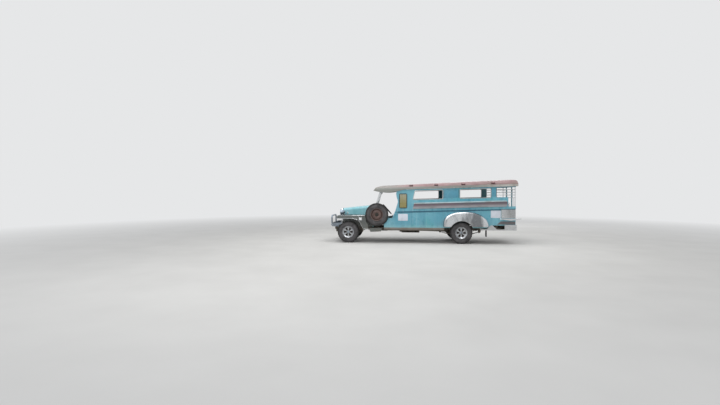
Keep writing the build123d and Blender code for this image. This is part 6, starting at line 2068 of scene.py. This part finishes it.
@dataclass
class RearEnd:
    """The tail lamps, the ribs on the bumper and corners, the step's treads and the handles."""

    face: float = -2.870
    lamp_y: float = 0.640
    post_y: float = 0.362
    bumper_side: float = 0.850
    bumper_rear: float = -2.904
    wing_low: float = 0.731
    valance_low: float = 0.6280
    tread_rows: tuple[float, ...] = (-2.880, -2.846, -2.812, -2.778)
    tread_half: float = 0.370
    handle: tuple[Flat, ...] = (
        (0.004, 1.120), (-0.026, 1.128), (-0.036, 1.150), (-0.036, 1.300), (-0.036, 1.450),
        (-0.026, 1.472), (0.004, 1.480),
    )
    rib_heights: tuple[float, ...] = (0.472, 0.530, 0.588)

    def tail_lamps(self) -> None:
        """A red, an amber and a clear lamp, one over the other."""
        for stem, z, finish in (
            ("tail", 1.086, Finish.RED_LENS),
            ("turn", 0.980, Finish.AMBER_LENS),
            ("reverse", 0.874, Finish.CLEAR_LENS),
        ):
            spot, _ = surface("rear_frame", (-3.2, self.lamp_y, z), (1, 0, 0))
            where = (spot.x + SUNK, self.lamp_y, z)
            rim = ((0.050, 0.0), (0.050, 0.008), (0.046, 0.016), (0.041, 0.016), (0.041, 0.0), (0.050, 0.0))
            bezel = turned("bezel", rim, where, Along.X, -1)
            both_sides(bezel, f"{stem}_lamp_bezel", Finish.CHROME)
            lens = ((0.041, 0.001), (0.041, 0.014), (0.034, 0.024), (0.018, 0.0295), (0.0, 0.031))
            both_sides(turned("lens", lens, where, Along.X, -1), f"{stem}_lamp_lens", finish)

    def ribs(self) -> None:
        """The swaged ribs round the bumper's ends and along the corner plates."""
        y, x = self.bumper_side, self.bumper_rear
        ribs = []
        for z in self.rib_heights:
            bends = ((-2.560, y - 0.001), (x + 0.006, y - 0.001), (x + 0.001, y - 0.006), (x + 0.001, 0.402))
            ribs.append(tube("rib", [(a, b, z) for a, b in bends], 0.0110))
        both_sides(joined(ribs, "ribs"), "rear_bumper_ribs", Finish.CHROME)
        swages = [
            tube("swage", [(x, 0.8395, 0.848 + 0.0385 * i) for x in (-2.448, -2.652, -2.856)], 0.0050, sides=2)
            for i in range(7)
        ]
        both_sides(joined(swages, "swages"), "corner_plate_swages", Finish.STAINLESS)

    def valances(self) -> None:
        """The dark plate on each side between the wing and the bumper's end, painted as the shade under the
        wing, with dust.
        """
        spot, _ = surface("body_side_left", (-2.50, 1.2, 0.68), (0, -1, 0))
        low, high = self.valance_low, self.wing_low - 0.001
        outline = [(-2.300, low), (self.face + 0.008, low), (self.face + 0.008, high), (-2.420, high)]
        panel = plate("panel", [(x, spot.y - SUNK, z) for x, z in outline], (0.0, 0.004, 0.0), 0.001)
        both_sides(panel, "rear_valance", Finish.VALANCE)

    def step_treads(self) -> None:
        """Rubber strips across the rear step."""
        spot, _ = surface("rear_bumper", (-2.829, 0.0, 0.9), (0, 0, -1))
        low, top = spot.z - SUNK, spot.z + 0.004
        strips = [
            block("strip", (x - 0.009, -self.tread_half, low), (x + 0.009, self.tread_half, top), 0.0016, 2)
            for x in self.tread_rows
        ]
        place(joined(strips, "rear_step_treads"), Finish.FLAP)

    def handles(self) -> None:
        """The upright handle on each rear post."""
        spot, _ = surface("rear_frame", (-3.2, self.post_y, 1.30), (1, 0, 0))
        bar = tube("handle", [(spot.x + a, self.post_y, b) for a, b in self.handle], 0.0105, sides=4)
        both_sides(bar, "rear_handle", Finish.CHROME)

    def build(self) -> None:
        """Makes the rear's fittings."""
        self.tail_lamps()
        self.ribs()
        self.valances()
        self.step_treads()
        self.handles()


@dataclass
class Cab:
    """The dials, the levers, the pedals and the horn button."""

    dials: tuple[tuple[float, float, float], ...] = (
        (0.205, 1.180, 0.040),
        (0.330, 1.185, 0.052),
        (0.455, 1.180, 0.040),
    )
    hub: Point = (1.175, 0.330, 1.085)
    column_lean: float = 41.0
    lever: Flat = (1.260, 0.0)
    handbrake: Flat = (1.150, -0.095)
    pedal_places: tuple[tuple[str, float, float], ...] = (
        ("clutch", 0.430, 0.032), ("brake", 0.330, 0.032), ("throttle", 0.215, 0.022),
    )

    def gauges(self) -> None:
        """Round dials with plain faces, needles and marks."""
        for index, (y, z, radius) in enumerate(self.dials):
            spot, _ = surface("cowl", (1.30, y, z), (1, 0, 0))
            x = spot.x + SUNK
            glass = radius * 0.86
            rim = ((radius, 0.0), (radius, 0.009), (radius * 0.93, 0.013), (glass, 0.010), (glass, 0.0))
            rim += ((radius, 0.0),)
            bezel = turned(f"dial_rim_{index + 1}", rim, (x, y, z), Along.X, -1)
            place(bezel, Finish.CHROME)
            disc = ((glass, 0.0), (glass, 0.004), (0.0, 0.0045))
            face = turned(f"dial_face_{index + 1}", disc, (x, y, z), Along.X, -1)
            place(face, Finish.BLACK)
            lines = [("mark", -120 + 30 * step, 0.0046, (0.66, 0.78), 0.0011) for step in range(9)]
            lines.append(("needle", -70 + 35 * index, 0.0054, (-0.12, 0.60), 0.0014))
            marks = []
            for name, degrees, rise, ends, thick in lines:
                c, s = cosine_and_sine(degrees)
                spots = [(x - rise, y + radius * end * s, z + radius * end * c) for end in ends]
                marks.append(tube(name, spots, thick, sides=1))
            place(joined(marks, f"dial_marks_{index + 1}"), Finish.BLANK)

    def levers(self) -> None:
        """The gear lever on the tunnel and the handbrake beside it."""
        foot, _ = surface("floor", (*self.lever, 1.20), (0, 0, -1))
        z = foot.z
        boot = ((0.046, -0.002), (0.044, 0.006), (0.030, 0.022), (0.027, 0.026), (0.016, 0.046), (0.0, 0.048))
        place(turned("lever_boot", boot, (*self.lever, z), Along.Z, steps=28), Finish.FLAP)
        bends = ((1.260, 0, 0.035), (1.245, 0.006, 0.14), (1.205, 0.020, 0.26), (1.190, 0.026, 0.315))
        rod = tube("gear_lever", [(x, y, z + up) for x, y, up in bends], 0.0075)
        knob = ((0.0, -0.022), (0.014, -0.017), (0.021, -0.006), (0.0215, 0.004), (0.017, 0.015), (0.0, 0.021))
        ball = turned("knob", knob, (1.188, 0.027, z + 0.330), Along.Z, steps=24)
        place(joined([rod, ball], "gear_lever"), Finish.BLACK, angle=50.0)
        x, y = self.handbrake
        foot, _ = surface("floor", (x, y, 1.20), (0, 0, -1))
        z = foot.z
        arm = tube("arm", [(x, y, z - 0.002), (1.110, y, z + 0.10), (1.045, y, z + 0.20)], 0.009)
        grip = tube("grip", [(1.062, y, z + 0.176), (1.000, y, z + 0.262)], 0.0135)
        place(joined([arm, grip], "handbrake"), Finish.BLACK, angle=50.0)

    def pedals(self) -> None:
        """Three hanging pedals in front of the driver's seat."""
        for stem, y, half in self.pedal_places:
            wall, _ = surface("cowl", (1.30, y, 0.930), (1, 0, 0))
            x = wall.x
            stalk = tube("stalk", [(x + 0.003, y, 0.930), (x - 0.050, y, 0.900), (x - 0.120, y, 0.765)], 0.0075)
            pad = [(x - 0.116, y - half, 0.790), (x - 0.116, y + half, 0.790)]
            pad += [(x - 0.140, y + half, 0.715), (x - 0.140, y - half, 0.715)]
            rubber = plate("pad", pad, (-0.010, 0.0, 0.0032), 0.0030)
            place(joined([stalk, rubber], f"pedal_{stem}"), Finish.BLACK, angle=40.0)

    def horn(self) -> None:
        """The button in the steering wheel's middle, which turns with it."""
        c, s = cosine_and_sine(self.column_lean)
        axis = Vector((-c, 0.0, s))
        spot, _ = surface("steering_wheel", tuple(Vector(self.hub) + axis * 0.3), tuple(-axis))
        outline = ((0.030, -0.001), (0.030, 0.004), (0.026, 0.0075), (0.015, 0.0095), (0.0, 0.0100))
        first = turned("button", outline, (0, 0, 0), Along.Z, steps=32)
        button = seated(first, "horn_button", spot, axis, (0, 1, 0))
        bpy.data.objects.remove(first)
        place(button, Finish.CHROME, "steering_wheel")

    def build(self) -> None:
        """Makes the cab's fittings."""
        self.gauges()
        self.levers()
        self.pedals()
        self.horn()


@dataclass
class EngineBay:
    """What shows with the hood up: the rocker cover, the air cleaner, the cap and the hose.

    The hood's catches are here too.
    """

    top: float = 0.985

    def engine(self) -> None:
        """The rocker cover with its bolts, and the round air cleaner on its horn."""
        low, high = self.top - 0.001, self.top + 0.052
        cover = block("rocker_cover", (1.900, -0.085, low), (2.360, 0.085, high), 0.014, 4)
        place(cover, Finish.HOOD, angle=40.0)
        spots = [(x, y, high) for x in (1.97, 2.13, 2.29) for y in (-0.045, 0.045)]
        place(heads("rocker_cover_nuts", spots, (0, 0, 1), 0.009, 0.006), Finish.ALLOY)
        outline = (
            (0.030, 0.0), (0.030, 0.040), (0.095, 0.044), (0.100, 0.050), (0.100, 0.092), (0.094, 0.099),
            (0.030, 0.102), (0.010, 0.112), (0.0, 0.112),
        )
        cleaner = turned("air_cleaner", outline, (1.990, -0.135, self.top - 0.002), Along.Z, steps=48)
        place(cleaner, Finish.BLACK, angle=35.0)

    def cooling(self) -> None:
        """The radiator's cap and its top hose."""
        spot, _ = surface("radiator", (2.590, 0.0, 1.5), (0, 0, -1))
        outline = (
            (0.026, -0.001), (0.026, 0.008), (0.031, 0.010), (0.031, 0.018), (0.024, 0.021), (0.0, 0.022),
        )
        cap = turned("radiator_cap", outline, tuple(spot), Along.Z, steps=24)
        place(cap, Finish.CHROME)
        bends = [(2.566, 0.150, 1.020), (2.530, 0.150, 1.022), (2.490, 0.142, 1.010), (2.440, 0.130, 0.980)]
        hose = tube("radiator_hose", bends, 0.021, sides=4)
        place(hose, Finish.FLAP)

    def catches(self) -> None:
        """The spring catch at each side of the hood, which lifts with it."""
        for index, x in enumerate((2.500, 1.860)):
            side, normal = surface("hood", (x, 1.0, 0.960), (0, -1, 0))
            foot = block("foot", (-0.020, -0.030, -0.001), (0.020, 0.030, 0.005), 0.002, 2)
            bends = ((-0.020, 0.004), (-0.012, 0.020), (0.012, 0.020), (0.020, 0.004))
            loop = tube("loop", [(0.0, y, z) for y, z in bends], 0.004)
            catch = joined([foot, loop], "catch")
            piece = seated(catch, "catch", side, normal, (1, 0, 0))
            bpy.data.objects.remove(catch)
            both_sides(piece, f"hood_catch_{index + 1}", Finish.CHROME, "hood", 40.0)

    def build(self) -> None:
        """Makes the engine bay's fittings."""
        self.engine()
        self.cooling()
        self.catches()


def main() -> None:
    """Dresses the CAD model, builds each sub-assembly in turn and sets up the studio."""
    logging.basicConfig(level=logging.INFO, format="%(name)s: %(message)s")
    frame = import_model()
    deselect()
    Dressing().dress(frame["nodes"])
    for assembly in ASSEMBLIES:
        LOG.info("building %s", assembly.__name__)
        assembly().build()
    Studio().build()


ASSEMBLIES = (
    Tyres, WheelFittings, Seats, WindowTrim, SideTrim, Fenders, FrontEnd,
    Windscreen, RoofLamps, RearEnd, Cab, EngineBay,
)

if __name__ == "__main__":
    main()
